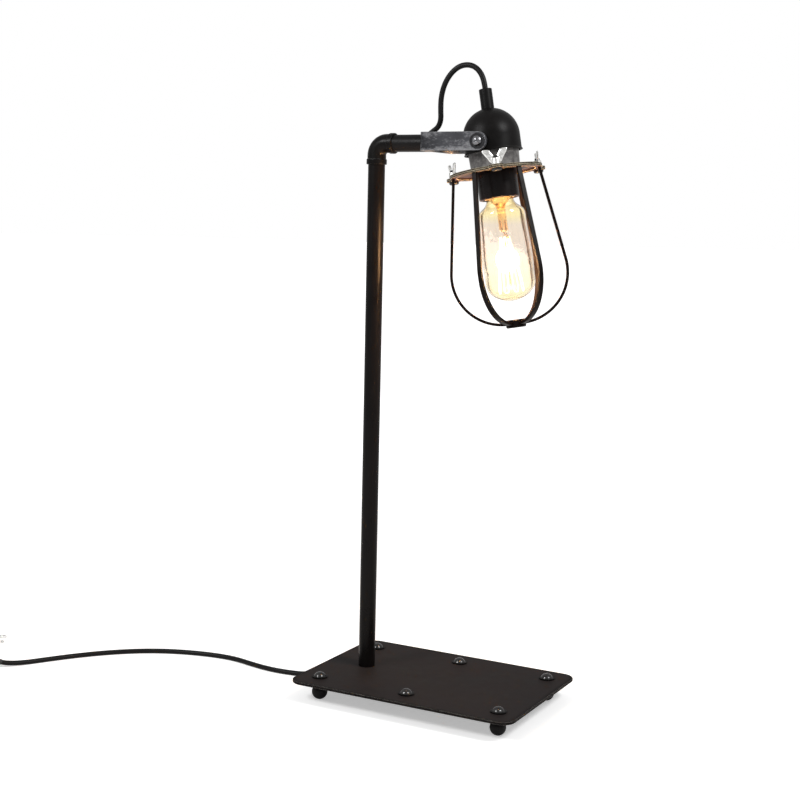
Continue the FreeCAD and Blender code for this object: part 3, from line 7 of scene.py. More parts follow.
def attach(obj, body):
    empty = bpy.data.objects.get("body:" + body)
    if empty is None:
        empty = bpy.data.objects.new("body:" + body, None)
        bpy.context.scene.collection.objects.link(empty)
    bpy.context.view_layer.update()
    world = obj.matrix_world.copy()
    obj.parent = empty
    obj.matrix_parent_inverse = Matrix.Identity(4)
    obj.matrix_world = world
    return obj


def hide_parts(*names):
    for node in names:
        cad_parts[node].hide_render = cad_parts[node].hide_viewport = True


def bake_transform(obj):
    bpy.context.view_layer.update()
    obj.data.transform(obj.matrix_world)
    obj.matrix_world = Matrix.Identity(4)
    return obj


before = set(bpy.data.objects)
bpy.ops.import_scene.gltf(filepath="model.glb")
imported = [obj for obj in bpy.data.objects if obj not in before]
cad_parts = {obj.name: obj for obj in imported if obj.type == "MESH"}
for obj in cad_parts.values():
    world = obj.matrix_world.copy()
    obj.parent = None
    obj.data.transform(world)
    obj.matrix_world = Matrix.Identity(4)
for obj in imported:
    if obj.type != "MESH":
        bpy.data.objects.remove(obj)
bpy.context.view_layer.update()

MM = 0.001

# Camera. It stands to the right of the lamp's front and a little above the middle of its column, as
# the photograph was taken, and sees the plate from just above.
bpy.ops.object.camera_add()
camera = bpy.context.object
camera.name = "camera"
camera_turn, camera_rise, camera_roll = (math.radians(a) for a in (28.23, 7.08, 1.28))
towards_lamp = Vector((math.sin(camera_turn) * math.cos(camera_rise),
                       -math.cos(camera_turn) * math.cos(camera_rise), math.sin(camera_rise)))
camera_right = Vector((math.cos(camera_turn), math.sin(camera_turn), 0))
camera_up = towards_lamp.cross(camera_right)
turned_right = camera_right * math.cos(camera_roll) + camera_up * math.sin(camera_roll)
turned_up = camera_up * math.cos(camera_roll) - camera_right * math.sin(camera_roll)
looked_at = Vector((-43.64, 0, 285.98)) * MM
camera_place = looked_at + towards_lamp * 1.3709
camera.matrix_world = Matrix((
    (turned_right.x, turned_up.x, towards_lamp.x, camera_place.x),
    (turned_right.y, turned_up.y, towards_lamp.y, camera_place.y),
    (turned_right.z, turned_up.z, towards_lamp.z, camera_place.z), (0, 0, 0, 1)))
camera.data.sensor_width = 36
camera.data.lens = 64.92
camera.data.clip_start, camera.data.clip_end = 0.05, 30
bpy.context.scene.camera = camera

# Mains cord. A round 5 mm black rubber flex that comes out of the clip under the plate, drops to
# the table and runs away to the left in two lazy bends, as far as the in-line switch.
CORD = 5.0
CORD_REST = 2.55
SKIN_DEPTH = 0.04
SWITCH_TURN = math.radians(215)


def route(name, points, diameter=CORD):
    """A cord as one smooth line with the route's points as its control points, in millimetres."""
    curve = bpy.data.curves.new(name, "CURVE")
    curve.dimensions = "3D"
    spline = curve.splines.new("NURBS")
    spline.points.add(len(points) - 1)
    for point, place in zip(spline.points, points):
        point.co = (*(c * MM for c in place), 1)
    spline.order_u = 3
    spline.use_endpoint_u = True
    curve.resolution_u = 10
    curve.bevel_depth = diameter / 2 * MM
    curve.bevel_resolution = 5
    curve.use_fill_caps = True
    cord = bpy.data.objects.new(name, curve)
    bpy.context.scene.collection.objects.link(cord)
    return cord


def only(piece=None):
    """Selects one object, or none."""
    bpy.ops.object.select_all(action="DESELECT")
    if piece:
        piece.select_set(True)
        bpy.context.view_layer.objects.active = piece


def tube(cord):
    """Makes the cord a mesh, and gives the points of its smooth line, which the mesh follows."""
    bare = bpy.data.objects.new("bare", cord.data.copy())
    bare.data.bevel_depth = 0
    mesh = bpy.data.meshes.new_from_object(bare)
    line = [tuple(v.co) for v in mesh.vertices]
    bpy.data.curves.remove(bare.data)
    bpy.data.meshes.remove(mesh)
    only(cord)
    bpy.ops.object.convert(target="MESH")
    bpy.ops.object.shade_smooth()
    return line


def add_node(tree, kind, inputs=None, **settings):
    """A node with its settings and its inputs: a value, or the socket that feeds it."""
    node = tree.nodes.new(f"ShaderNode{kind}")
    for key, value in settings.items():
        setattr(node, key, value)
    for key, value in (inputs or {}).items():
        if isinstance(value, bpy.types.NodeSocket):
            tree.links.new(value, node.inputs[key])
        else:
            node.inputs[key].default_value = value
    return node


def new_material(name):
    material = bpy.data.materials.new(name)
    material.use_nodes = True
    tree = material.node_tree
    tree.nodes.clear()
    shader = add_node(tree, "BsdfPrincipled")
    add_node(tree, "OutputMaterial", {"Surface": shader.outputs[0]})
    return material, tree, shader


def moulded(name, tone, shine=0.5, grain_size=0.5, bump=0.3, drift=0.25, specular=0.5):
    """Rubber or moulded plastic: an even tone with a fine skin, duller where it was handled."""
    material, tree, shader = new_material(name)
    place = add_node(tree, "TexCoord")
    skin = add_node(tree, "TexNoise", {
        "Vector": place.outputs["Object"], "Scale": 1 / (grain_size * MM), "Detail": 4,
        "Roughness": 0.6})
    cloud = add_node(tree, "TexNoise", {
        "Vector": place.outputs["Object"], "Scale": 90, "Detail": 3})
    darker = tuple(c * (1 - drift) for c in tone)
    lighter = tuple(c * (1 + drift) for c in tone)
    mixed = add_node(tree, "Mix", {0: cloud.outputs[0], 6: (*darker, 1), 7: (*lighter, 1)},
                     data_type="RGBA")
    duller = add_node(tree, "MapRange", {
        "Value": cloud.outputs[0], "From Min": 0.3, "From Max": 0.7,
        "To Min": shine - 0.08, "To Max": shine + 0.08})
    relief = add_node(tree, "Bump", {
        "Strength": bump, "Distance": SKIN_DEPTH * MM, "Height": skin.outputs[0]})
    for label, source in (("Base Color", mixed.outputs[2]), ("Roughness", duller.outputs[0]),
                          ("Normal", relief.outputs[0])):
        tree.links.new(source, shader.inputs[label])
    shader.inputs["Specular IOR Level"].default_value = specular
    return material


cord_rubber = moulded("cord_black", (0.0042, 0.004, 0.004), shine=0.42, grain_size=0.3, bump=0.2,
                      specular=0.14)


def black_flex(flex, *nodes):
    """The cord takes its rubber and stands for its CAD solids."""
    flex.data.materials.clear()
    flex.data.materials.append(cord_rubber)
    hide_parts(*nodes)


switch_way = Vector((math.cos(SWITCH_TURN), math.sin(SWITCH_TURN), 0))
switch_side = Vector((switch_way.y, -switch_way.x, 0))
switch_in = Vector((-432.2, -160, 9.5))
mains_points = [(-109.2, 0, 7.5), (-118.2, 0, 7.5), (-129.2, -3.2, 4.9), (-141.2, -8.6, CORD_REST)]
mains_points += [(x - 0.2, y, CORD_REST) for x, y in (
    (-155.4, -11.9), (-172.7, -13.1), (-189.2, -11.7), (-206.0, -8.4), (-221.5, -4.6),
    (-238.0, -3.2), (-260.3, -5.6), (-290.7, -13.9), (-319.1, -28.2), (-343.0, -47.6),
    (-363.4, -70.6), (-381.1, -96.0))]
before_switch = switch_in - switch_way * 28 + Vector((1.5, 3.0, 0))
mains_points += [(before_switch.x, before_switch.y, CORD_REST), switch_in - switch_way * 12,
                 switch_in]
mains_flex = route("mains_flex", mains_points)
mains_line = tube(mains_flex)
black_flex(mains_flex, "mains_cord")
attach(mains_flex, "stand")

# Coiled end of the mains cord. From the switch to the plug the flex is wound into a neat two-layer
# coil of six and a half turns, with the plug lying beside it.
SWITCH_LENGTH, COIL_LEAD, PLUG_LEAD, PLUG_AXIS = 64, 62, 78, 6.9
COIL_RADIUS, COIL_STEP, COIL_LAYER, REVERSES_AT = 38, 2.85, 5.6, 6
ARC_POINTS, OUTWARD = 6, 1.034
switch_out = switch_in + switch_way * SWITCH_LENGTH
coil_start = Vector((*(switch_out + switch_way * COIL_LEAD).xy, CORD_REST))
tail_points = [switch_out, switch_out + switch_way * 12]
tail_points += [Vector((*(switch_out + switch_way * 28 + switch_side * 1.4).xy, CORD_REST)),
                Vector((*(switch_out + switch_way * 45).xy, CORD_REST)), coil_start]
turn_radii = [COIL_RADIUS - COIL_STEP * i for i in range(REVERSES_AT + 1)]
turn_radii += turn_radii[-2::-1]
at, facing, inward = coil_start + switch_way * CORD, switch_way, switch_side
for i, radius in enumerate(turn_radii):
    middle = at + inward * radius
    for step in range(ARC_POINTS):
        angle = math.pi * step / ARC_POINTS
        climbed = (1 - math.cos(angle)) / 2 if i == REVERSES_AT else i > REVERSES_AT
        reach = radius * (OUTWARD if step or i else 1.0)
        place = middle - inward * (reach * math.cos(angle)) + facing * (reach * math.sin(angle))
        tail_points.append(Vector((place.x, place.y, CORD_REST + COIL_LAYER * climbed)))
    at, facing, inward = at + inward * (2 * radius), -facing, -inward
coil_out = Vector((at.x, at.y, CORD_REST + COIL_LAYER)) + facing * CORD
plug_way, plug_side = facing, Vector((-facing.y, facing.x, 0))
tail_points += [coil_out - facing * CORD, coil_out, coil_out + plug_way * 12]
for along, aside, height in ((29, -3.0, CORD_REST + 1.4), (46, -3.6, CORD_REST),
                             (64, 0, PLUG_AXIS), (PLUG_LEAD, 0, PLUG_AXIS)):
    place = coil_out + plug_way * along + plug_side * aside
    tail_points.append(Vector((place.x, place.y, height)))
tail_flex = route("tail_flex", tail_points)
tail_line = tube(tail_flex)
black_flex(tail_flex, "coil_lead", "cord_coil", "plug_cord")
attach(tail_flex, "stand")

# Inner lead. The same flex inside the stand: in at the notch in the arm, through the elbow, down
# the column, out of the nipple under the plate and along to the clip.
column_axis, arm_axis = -74.2, 526.5
inner_flex = route("inner_flex", [
    (-109.2, 0, 7.5), (-96, 0, 7.5), (-83, 0, 7.5), (-75.2, 0, 7.8), (column_axis, 0, 12),
    (column_axis, 0, 20), (column_axis, 0, 505), (column_axis, 0, 518), (-73.4, 0, 525.2),
    (-66, 0, arm_axis), (-56, 0, arm_axis), (-36, 0, arm_axis), (-29, 0, 527.5),
    (-20.5, 0, 533.6)])
inner_line = tube(inner_flex)
black_flex(inner_flex, "inner_lead")
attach(inner_flex, "stand")

# Loop of cord over the head. It climbs out of the notch behind the yoke, arches over the dome and
# goes down into the strain relief, with enough slack for the head to tilt.
relief_mouth = Vector((36.25, 0, 574.27))
loop_flex = route("loop_flex", [
    (-20.5, 0, 533.6), (-14.9, 0, 537.52), (-9.8, -0.3, 541.1), (-7.1, -0.8, 547.3),
    (-7.4, -1.4, 556.9), (-7.1, -1.8, 567.5), (-4.4, -1.9, 578.1), (0.6, -1.7, 586.9),
    (7.4, -1.2, 593.5), (15.2, -0.6, 596.4), (23.7, -0.2, 595.4), (30.4, 0, 590.3),
    (34.84, 0, 582.15), relief_mouth])
loop_line = tube(loop_flex)
black_flex(loop_flex, "loop_cord")
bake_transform(loop_flex)

# Cord clip and its strain relief. A nylon clip under the plate's edge holds the flex, which leaves
# it through a slim tapered sleeve.


def dress(material, *names):
    """Gives CAD nodes their material."""
    for name in names:
        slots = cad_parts[name].data.materials
        slots.clear()
        slots.append(material)


def line_from(line, length, step=0.4):
    """Evenly spaced points along the first millimetres of a cord's line."""
    points, ahead, run = [Vector(line[0])], 1, step * MM
    while len(points) < length / step + 1:
        gap = Vector(line[ahead]) - points[-1]
        if gap.length < run and ahead < len(line) - 1:
            ahead += 1
        else:
            points.append(points[-1] + gap.normalized() * run)
    return points


def smooth(degrees=35):
    """Shades the piece smooth, apart from edges sharper than an angle."""
    bpy.ops.object.shade_smooth_by_angle(angle=math.radians(degrees))


def boot(name, line, length, wide, thin, material):
    """A tapered sleeve moulded on the cord, with narrow gaps that let it bend."""
    curve = bpy.data.curves.new(name, "CURVE")
    curve.dimensions = "3D"
    points = line_from(line, length)
    spline = curve.splines.new("POLY")
    spline.points.add(len(points) - 1)
    for i, (point, place) in enumerate(zip(spline.points, points)):
        along = i / (len(points) - 1)
        radius = wide + (thin - wide) * along ** 0.8
        gap = 4 < i < len(points) - 5 and i % 8 in (0, 1, 2)
        point.co = (*place, 1)
        point.radius = radius - (0.22 * (radius - CORD / 2) + 0.12 if gap else 0)
    curve.bevel_depth = MM
    curve.bevel_resolution = 6
    curve.use_fill_caps = True
    sleeve = bpy.data.objects.new(name, curve)
    bpy.context.scene.collection.objects.link(sleeve)
    only(sleeve)
    bpy.ops.object.convert(target="MESH")
    smooth(40)
    sleeve.data.materials.clear()
    sleeve.data.materials.append(material)
    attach(sleeve, "stand")
    return sleeve


clip_nylon = moulded("clip_nylon", (0.008, 0.008, 0.008), shine=0.45, specular=0.3)
dress(clip_nylon, "cord_clip")
plate_boot = boot("plate_boot", mains_line, 22, 3.5, 2.75, clip_nylon)

# In-line switch. Two glossy black mouldings round the flex, a framed rocker that tips in a well,
# and a ribbed sleeve on the flex at each end.
switch_plastic = moulded("switch_plastic", (0.007, 0.007, 0.0073),
                         shine=0.3, grain_size=0.7, bump=0.2)
rocker_plastic = moulded("rocker_plastic", (0.009, 0.009, 0.009),
                         shine=0.18, grain_size=0.7, bump=0.1)
dress(switch_plastic, "switch_base", "switch_cover")
dress(rocker_plastic, "switch_rocker")
boot_in = boot("switch_boot_in", mains_line[::-1], 24, 4.1, 2.8, switch_plastic)
boot_out = boot("switch_boot_out", tail_line, 24, 4.1, 2.8, switch_plastic)


def primitive(kind, name, place, measures, **more):
    """A primitive at its place and of its size in millimetres, with its transform applied."""
    only()
    getattr(bpy.ops.mesh, f"primitive_{kind}_add")(location=Vector(place) * MM, **more)
    piece = bpy.context.object
    piece.name = name
    piece.scale = Vector(measures) * MM
    bpy.ops.object.transform_apply(location=True, rotation=True, scale=True)
    return piece


def pick(piece, test):
    """Selects faces in edit mode by a test on their middle, in millimetres, and their normal."""
    bpy.ops.mesh.select_mode(type="FACE")
    bpy.ops.mesh.select_all(action="DESELECT")
    mesh = bmesh.from_edit_mesh(piece.data)
    for face in mesh.faces:
        face.select_set(test(face.calc_center_median() / MM, face.normal))
    bmesh.update_edit_mesh(piece.data)


def finished(piece, modifier, **settings):
    """Adds a modifier with its settings and applies it."""
    only(piece)
    made = piece.modifiers.new(modifier.lower(), modifier)
    for key, value in settings.items():
        setattr(made, key, value)
    bpy.ops.object.modifier_apply(modifier=made.name)


def placed(piece, matrix, material, body, slot, *nodes):
    """Puts a piece in its place, with its material, the body it rides on and what it replaces."""
    only(piece)
    piece.matrix_world = matrix
    bpy.ops.object.transform_apply(location=True, rotation=True, scale=True)
    piece.data.materials.clear()
    piece.data.materials.append(material)
    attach(piece, body)
    if nodes:
        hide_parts(*nodes)
    return piece


switch_place = (Matrix.Translation(Vector((*switch_in.xy, 0)) * MM)
                @ Matrix.Rotation(SWITCH_TURN, 4, "Z"))
frame_rim = primitive("cube", "rocker_frame", (32, 0, 19.25), (21.6, 16.2, 0.9), size=1)
bpy.ops.object.mode_set(mode="EDIT")
pick(frame_rim, lambda at, way: abs(way.z) > 0.9)
bpy.ops.mesh.inset(thickness=1.75 * MM, use_individual=True)
bpy.ops.mesh.bridge_edge_loops()
bpy.ops.object.mode_set(mode="OBJECT")
finished(frame_rim, "BEVEL", width=0.3 * MM, segments=3, limit_method="ANGLE")
smooth()
placed(frame_rim, switch_place, switch_plastic, "stand", "switch_plastic")

# Plug. A flat two-pin plug moulded in one piece with its ribbed cord sleeve, with recessed grips
# and insulated collars on its plated pins.
PIN_ASIDE = 9.3


def draw_out(piece, move, size=(1, 1, 1)):
    """Extrudes the chosen faces, moves them in millimetres and resizes them about their middle."""
    bpy.ops.mesh.extrude_region_move(TRANSFORM_OT_translate={"value": Vector(move) * MM})
    mesh = bmesh.from_edit_mesh(piece.data)
    chosen = [v.co for v in mesh.verts if v.select]
    middle = sum(chosen, Vector()) / len(chosen)
    bpy.ops.transform.resize(value=size, center_override=middle)


plug_place = coil_out + plug_way * PLUG_LEAD
plug_turn = math.atan2(plug_way.y, plug_way.x)
plug_matrix = (Matrix.Translation(Vector((*plug_place.xy, 0)) * MM)
               @ Matrix.Rotation(plug_turn, 4, "Z"))
plug = primitive("cube", "moulded_plug", (34.5, 0, PLUG_AXIS), (21, 33, 2 * PLUG_AXIS), size=1)
bpy.ops.object.mode_set(mode="EDIT")
pick(plug, lambda at, way: way.x < -0.9)
for back, size in ((-7, (1, 0.78, 0.97)), (-6, (1, 0.56, 0.86)), (-11, (1, 0.62, 0.8))):
    draw_out(plug, (back, 0, 0), size)
pick(plug, lambda at, way: abs(way.y) > 0.9 and at.x > 24)
bpy.ops.mesh.inset(thickness=3 * MM, use_individual=True)
bpy.ops.transform.resize(value=(1, 0.95, 1), center_override=(0, 0, PLUG_AXIS * MM))
pick(plug, lambda at, way: way.x > 0.9)
bpy.ops.mesh.inset(thickness=2.2 * MM)
draw_out(plug, (-0.5, 0, 0))
bpy.ops.object.mode_set(mode="OBJECT")
finished(plug, "BEVEL", width=1.1 * MM, segments=4, limit_method="ANGLE",
         angle_limit=math.radians(20))
smooth()
plug_plastic = moulded("plug_plastic", (0.008, 0.008, 0.008), shine=0.34, bump=0.25)
placed(plug, plug_matrix, plug_plastic, "stand", "plug_plastic", "plug_body")
plug_boot = boot("plug_boot", tail_line[::-1], 26, 4.2, 2.8, plug_plastic)
for side in (-1, 1):
    collar = primitive("cylinder", f"pin_collar_{side + 2}", (50, PIN_ASIDE * side, PLUG_AXIS),
                       (2.12, 2.12, 10), vertices=32, radius=1, depth=1,
                       rotation=(0, math.pi / 2, 0))
    finished(collar, "BEVEL", width=0.25 * MM, segments=2, limit_method="ANGLE")
    smooth()
    placed(collar, plug_matrix, plug_plastic, "stand", "plug_plastic")

# Worn paint. One effect for every painted or plated metal piece of the lamp: soft edges, fine
# grain, a slow drift of the shade, and bare metal where edges and patches have been rubbed.


def node_group(name, inputs, outputs):
    """An empty shader node group with named inputs and outputs."""
    group = bpy.data.node_groups.new(name, "ShaderNodeTree")
    for way, sockets in (("INPUT", inputs), ("OUTPUT", outputs)):
        for label, kind, value in sockets:
            socket = group.interface.new_socket(label, in_out=way, socket_type=f"NodeSocket{kind}")
            if value is not None:
                socket.default_value = value
    return group, group.nodes.new("NodeGroupInput"), group.nodes.new("NodeGroupOutput")


worn, worn_in, worn_out = node_group("worn_paint", [
    ("Coordinates", "Vector", None), ("Paint", "Color", (0.02, 0.018, 0.017, 1)),
    ("Bare", "Color", (0.3, 0.28, 0.25, 1)), ("Edge", "Float", 0.0005), ("Edge Wear", "Float", 0.5),
    ("Patch Wear", "Float", 0.2), ("Patch Scale", "Float", 60), ("Grain Scale", "Float", 1400),
    ("Shine", "Float", 0.45), ("Bare Shine", "Float", 0.35), ("Bare Metal", "Float", 0.8)], [
    ("Color", "Color", None), ("Metallic", "Float", None), ("Roughness", "Float", None),
    ("Height", "Float", None), ("Edge Normal", "Vector", None)])
give = worn_in.outputs
soft_edge = add_node(worn, "Bevel", {"Radius": give["Edge"]}, samples=4)
surface = add_node(worn, "NewGeometry")
turned_by = add_node(worn, "VectorMath", {0: soft_edge.outputs[0], 1: surface.outputs["Normal"]},
                     operation="DOT_PRODUCT")
edge_mask = add_node(worn, "MapRange", {
    "Value": turned_by.outputs["Value"], "From Min": 0.995, "From Max": 0.86})
drift = add_node(worn, "TexNoise", {
    "Vector": give["Coordinates"], "Scale": give["Patch Scale"], "Detail": 5, "Roughness": 0.62})
flecks = add_node(worn, "TexNoise", {
    "Vector": give["Coordinates"], "Scale": give["Grain Scale"], "Detail": 3, "Roughness": 0.6})
chips = add_node(worn, "Math", {0: give["Patch Scale"], 1: 7.0}, operation="MULTIPLY")
chip_noise = add_node(worn, "TexNoise", {
    "Vector": give["Coordinates"], "Scale": chips.outputs[0], "Detail": 6, "Roughness": 0.7})
edge_part = add_node(worn, "Math", {0: edge_mask.outputs[0], 1: give["Edge Wear"]},
                     operation="MULTIPLY")
edge_worn = add_node(worn, "Math", {0: edge_part.outputs[0], 1: chip_noise.outputs[0]},
                     operation="ADD")
edge_cut = add_node(worn, "MapRange", {
    "Value": edge_worn.outputs[0], "From Min": 0.78, "From Max": 1.02})
patch_low = add_node(worn, "Math", {0: 0.86, 1: give["Patch Wear"]}, operation="SUBTRACT")
patch_high = add_node(worn, "Math", {0: patch_low.outputs[0], 1: 0.16}, operation="ADD")
patch_mix = add_node(worn, "Mix", {0: 0.45, 2: drift.outputs[0], 3: chip_noise.outputs[0]})
patch_cut = add_node(worn, "MapRange", {
    "Value": patch_mix.outputs[0], "From Min": patch_low.outputs[0],
    "From Max": patch_high.outputs[0]})
bare_mask = add_node(worn, "Math", {0: edge_cut.outputs[0], 1: patch_cut.outputs[0]},
                     operation="MAXIMUM")
shade = add_node(worn, "MapRange", {
    "Value": drift.outputs[0], "From Min": 0.3, "From Max": 0.7, "To Min": 0.72, "To Max": 1.35})
shaded = add_node(worn, "VectorMath", {0: give["Paint"], "Scale": shade.outputs[0]},
                  operation="SCALE")
bare_shade = add_node(worn, "MapRange", {
    "Value": flecks.outputs[0], "From Min": 0.3, "From Max": 0.7, "To Min": 0.65, "To Max": 1.25})
bare_tone = add_node(worn, "VectorMath", {0: give["Bare"], "Scale": bare_shade.outputs[0]},
                     operation="SCALE")
tone = add_node(worn, "Mix", {
    0: bare_mask.outputs[0], 6: shaded.outputs[0], 7: bare_tone.outputs[0]}, data_type="RGBA")
metal_part = add_node(worn, "Math", {0: bare_mask.outputs[0], 1: give["Bare Metal"]},
                      operation="MULTIPLY")
drift_off = add_node(worn, "MapRange", {
    "Value": drift.outputs[0], "From Min": 0.3, "From Max": 0.7, "To Min": -0.08, "To Max": 0.1})
painted_rough = add_node(worn, "Math", {0: give["Shine"], 1: drift_off.outputs[0]},
                         operation="ADD")
rough = add_node(worn, "Mix", {
    0: bare_mask.outputs[0], 2: painted_rough.outputs[0], 3: give["Bare Shine"]})
paint_step = add_node(worn, "Math", {0: bare_mask.outputs[0], 1: -0.8}, operation="MULTIPLY")
height = add_node(worn, "Math", {0: flecks.outputs[0], 1: paint_step.outputs[0]}, operation="ADD")
for label, source in (("Color", tone.outputs[2]), ("Metallic", metal_part.outputs[0]),
                      ("Roughness", rough.outputs[0]), ("Height", height.outputs[0]),
                      ("Edge Normal", soft_edge.outputs[0])):
    worn.links.new(source, worn_out.inputs[label])


def painted(name, paint, bare, shine=0.45, bare_shine=0.35, edge=0.5, edge_wear=0.5, patch_wear=0.2,
            patch_size=16, grain_size=0.7, bump=0.25, depth=0.05, specular=0.35, bare_metal=0.8,
            stretch=(1, 1, 1)):
    """Paint over metal, with its sizes in millimetres."""
    material, tree, shader = new_material(name)
    place = add_node(tree, "TexCoord")
    laid = add_node(tree, "Mapping", {"Vector": place.outputs["Object"], "Scale": stretch})
    layer = add_node(tree, "Group", node_tree=worn)
    tree.links.new(laid.outputs[0], layer.inputs["Coordinates"])
    for label, value in (("Paint", (*paint, 1)), ("Bare", (*bare, 1)), ("Edge", edge * MM),
                         ("Edge Wear", edge_wear), ("Patch Wear", patch_wear),
                         ("Patch Scale", 1 / (patch_size * MM)),
                         ("Grain Scale", 1 / (grain_size * MM)), ("Shine", shine),
                         ("Bare Shine", bare_shine), ("Bare Metal", bare_metal)):
        layer.inputs[label].default_value = value
    relief = add_node(tree, "Bump", {"Strength": bump, "Distance": depth * MM,
                                     "Height": layer.outputs["Height"],
                                     "Normal": layer.outputs["Edge Normal"]})
    for label, source in (("Base Color", layer.outputs["Color"]),
                          ("Metallic", layer.outputs["Metallic"]),
                          ("Roughness", layer.outputs["Roughness"]),
                          ("Normal", relief.outputs[0])):
        tree.links.new(source, shader.inputs[label])
    shader.inputs["Specular IOR Level"].default_value = specular
    return material


# Base plate. A 3 mm steel plate with rounded corners, powder coated black. A painted shade makes
# its paint blacker along its edges, where the rounded rim turns from the light, and the edges are
# rubbed back to a thin line of metal.
PLATE_TONE, PLATE_EDGE_SHADE = (0.0145, 0.012, 0.012), (0.0022, 0.0019, 0.0019)
plate_paint = painted("plate_black", PLATE_TONE, (0.2, 0.19, 0.175), shine=0.6, edge_wear=0.75,
                      patch_wear=0.1, patch_size=30, grain_size=0.6, bump=0.35, specular=0.05,
                      bare_metal=0.5)
tree = plate_paint.node_tree
# Painted shade: within 6 mm of an edge the paint turns to the darker edge tone.
near_edge = add_node(tree, "Bevel", {"Radius": 6 * MM}, samples=6)
surface = add_node(tree, "NewGeometry")
turned_by = add_node(tree, "VectorMath", {0: near_edge.outputs[0], 1: surface.outputs["Normal"]},
                     operation="DOT_PRODUCT")
painted_edge_shade = add_node(tree, "MapRange", {"Value": turned_by.outputs["Value"], "From Min": 0.9995,
                                         "From Max": 0.965})
paint_with_edge_shade = add_node(tree, "Mix", {
    0: painted_edge_shade.outputs[0], 6: (*PLATE_TONE, 1), 7: (*PLATE_EDGE_SHADE, 1)}, data_type="RGBA")
tree.links.new(paint_with_edge_shade.outputs[2], tree.nodes["Group"].inputs["Paint"])
dress(plate_paint, "base_plate")

# Domed bolts and their washers. Six black bolts hold the feet and stiffen the plate, and each one
# sits on a plain washer.
bolt_paint = painted("bolt_black", (0.004, 0.0036, 0.0035), (0.14, 0.13, 0.12), shine=0.17,
                     edge=0.3, edge_wear=0.3, patch_wear=0.1, patch_size=4, grain_size=0.5,
                     bump=0.1, specular=0.6)
washer_paint = painted("washer_black", (0.003, 0.0028, 0.0027), (0.1, 0.09, 0.085), shine=0.5,
                       edge=0.2, edge_wear=0.3, patch_wear=0.1, patch_size=4, specular=0.08)
dress(bolt_paint, "plate_bolts")
dress(washer_paint, "bolt_washers")

# Zinc-plated fittings. Steel nuts, washer, locknut, nipples and inserts that screw the stand and
# the head together. Few of them show, and those only from below.


def all_metal(material):
    """Plated or solid metal: bare all over, not only where it is rubbed."""
    metallic = material.node_tree.nodes["Principled BSDF"].inputs["Metallic"]
    material.node_tree.links.remove(metallic.links[0])
    metallic.default_value = 1


zinc = painted("zinc_steel", (0.5, 0.5, 0.48), (0.36, 0.34, 0.3), shine=0.34, edge=0.15,
               edge_wear=0.3, patch_wear=0.25, patch_size=5, grain_size=0.4, bump=0.2, specular=0.5,
               bare_metal=1.0)
all_metal(zinc)
dress(zinc, "plate_nuts", "tube_inserts", "base_nipple", "base_washer", "base_locknut",
      "elbow_nipples", "pivot_nuts", "top_nipple")

# Feet. Four black rubber balls on a short neck, cut flat below and bored, so that each is screwed
# on to the end of a corner bolt.
foot_rubber = moulded("foot_rubber", (0.0045, 0.0043, 0.0042), grain_size=0.35, specular=0.14)
dress(foot_rubber, "foot_front_left", "foot_back_left", "foot_front_right", "foot_back_right")

# Column, arm and elbow. Black steel tube, drawn smooth along its length, joined by a cast elbow
# whose ends are beaded; the casting is coarser than the tube.
pipe_paint = painted("pipe_black", (0.0036, 0.0029, 0.0028), (0.07, 0.06, 0.055), shine=0.3,
                     edge=0.4, edge_wear=0.4, patch_wear=0.08, patch_size=18, grain_size=0.5,
                     bump=0.12, specular=0.09, stretch=(1, 1, 0.35))
arm_paint = painted("arm_black", (0.005, 0.0046, 0.0048), (0.1, 0.095, 0.092), shine=0.36,
                    edge=0.4, edge_wear=0.45, patch_wear=0.14, patch_size=12, grain_size=0.5,
                    bump=0.2, specular=0.1, stretch=(0.4, 1, 1))
cast_paint = painted("cast_black", (0.003, 0.0026, 0.0025), (0.16, 0.15, 0.145), shine=0.34,
                     edge=0.7, edge_wear=0.62, patch_wear=0.14, patch_size=9, grain_size=0.9,
                     bump=0.45, depth=0.1, specular=0.1)
dress(pipe_paint, "column_tube")
dress(arm_paint, "arm_tube")
dress(cast_paint, "elbow")

# Yoke. A flat steel strap bent into a U, its paint made blacker towards the arm by painted shade.
# Its paint is rubbed through to grey along the lower edge and towards the pivot, and the grey band
# along the lower edge is partly a painted highlight.
STRAP_TONE, STRAP_SHADE_TONE = (0.05, 0.051, 0.058), (0.012, 0.0122, 0.0145)
strap_paint = painted("strap_black", STRAP_TONE, (0.24, 0.24, 0.25), shine=0.42, edge=1.1,
                      edge_wear=0.85, patch_wear=0.38, patch_size=9, grain_size=0.5, bump=0.4,
                      depth=0.07, specular=0.15, bare_metal=0.5, stretch=(0.4, 1, 1))
ring_paint = painted("washer_grey", (0.014, 0.014, 0.016), (0.16, 0.16, 0.165), shine=0.36,
                     edge=0.4, edge_wear=0.8, patch_wear=0.3, patch_size=3, grain_size=0.4,
                     specular=0.15, bare_metal=0.6)
tree = strap_paint.node_tree
place = tree.nodes["Texture Coordinate"]
parts = add_node(tree, "SeparateXYZ", {"Vector": place.outputs["Object"]})
# Grey along the lower edge: more rubbed patches there, partly wear and partly a painted highlight.
lower = add_node(tree, "MapRange", {
    "Value": parts.outputs["Z"], "From Min": 0.5225, "From Max": 0.5185, "To Min": 0.37,
    "To Max": 0.5})
# Painted shade: the strap's paint goes darker towards the arm.
outward = add_node(tree, "MapRange", {
    "Value": parts.outputs["X"], "From Min": -0.012, "From Max": 0.012})
arm_end_shade = add_node(tree, "Mix", {
    0: outward.outputs[0], 6: (*STRAP_SHADE_TONE, 1), 7: (*STRAP_TONE, 1)}, data_type="RGBA")
tree.links.new(lower.outputs[0], tree.nodes["Group"].inputs["Patch Wear"])
tree.links.new(arm_end_shade.outputs[2], tree.nodes["Group"].inputs["Paint"])
dress(strap_paint, "yoke")
dress(ring_paint, "pivot_washers", "pivot_spacers")

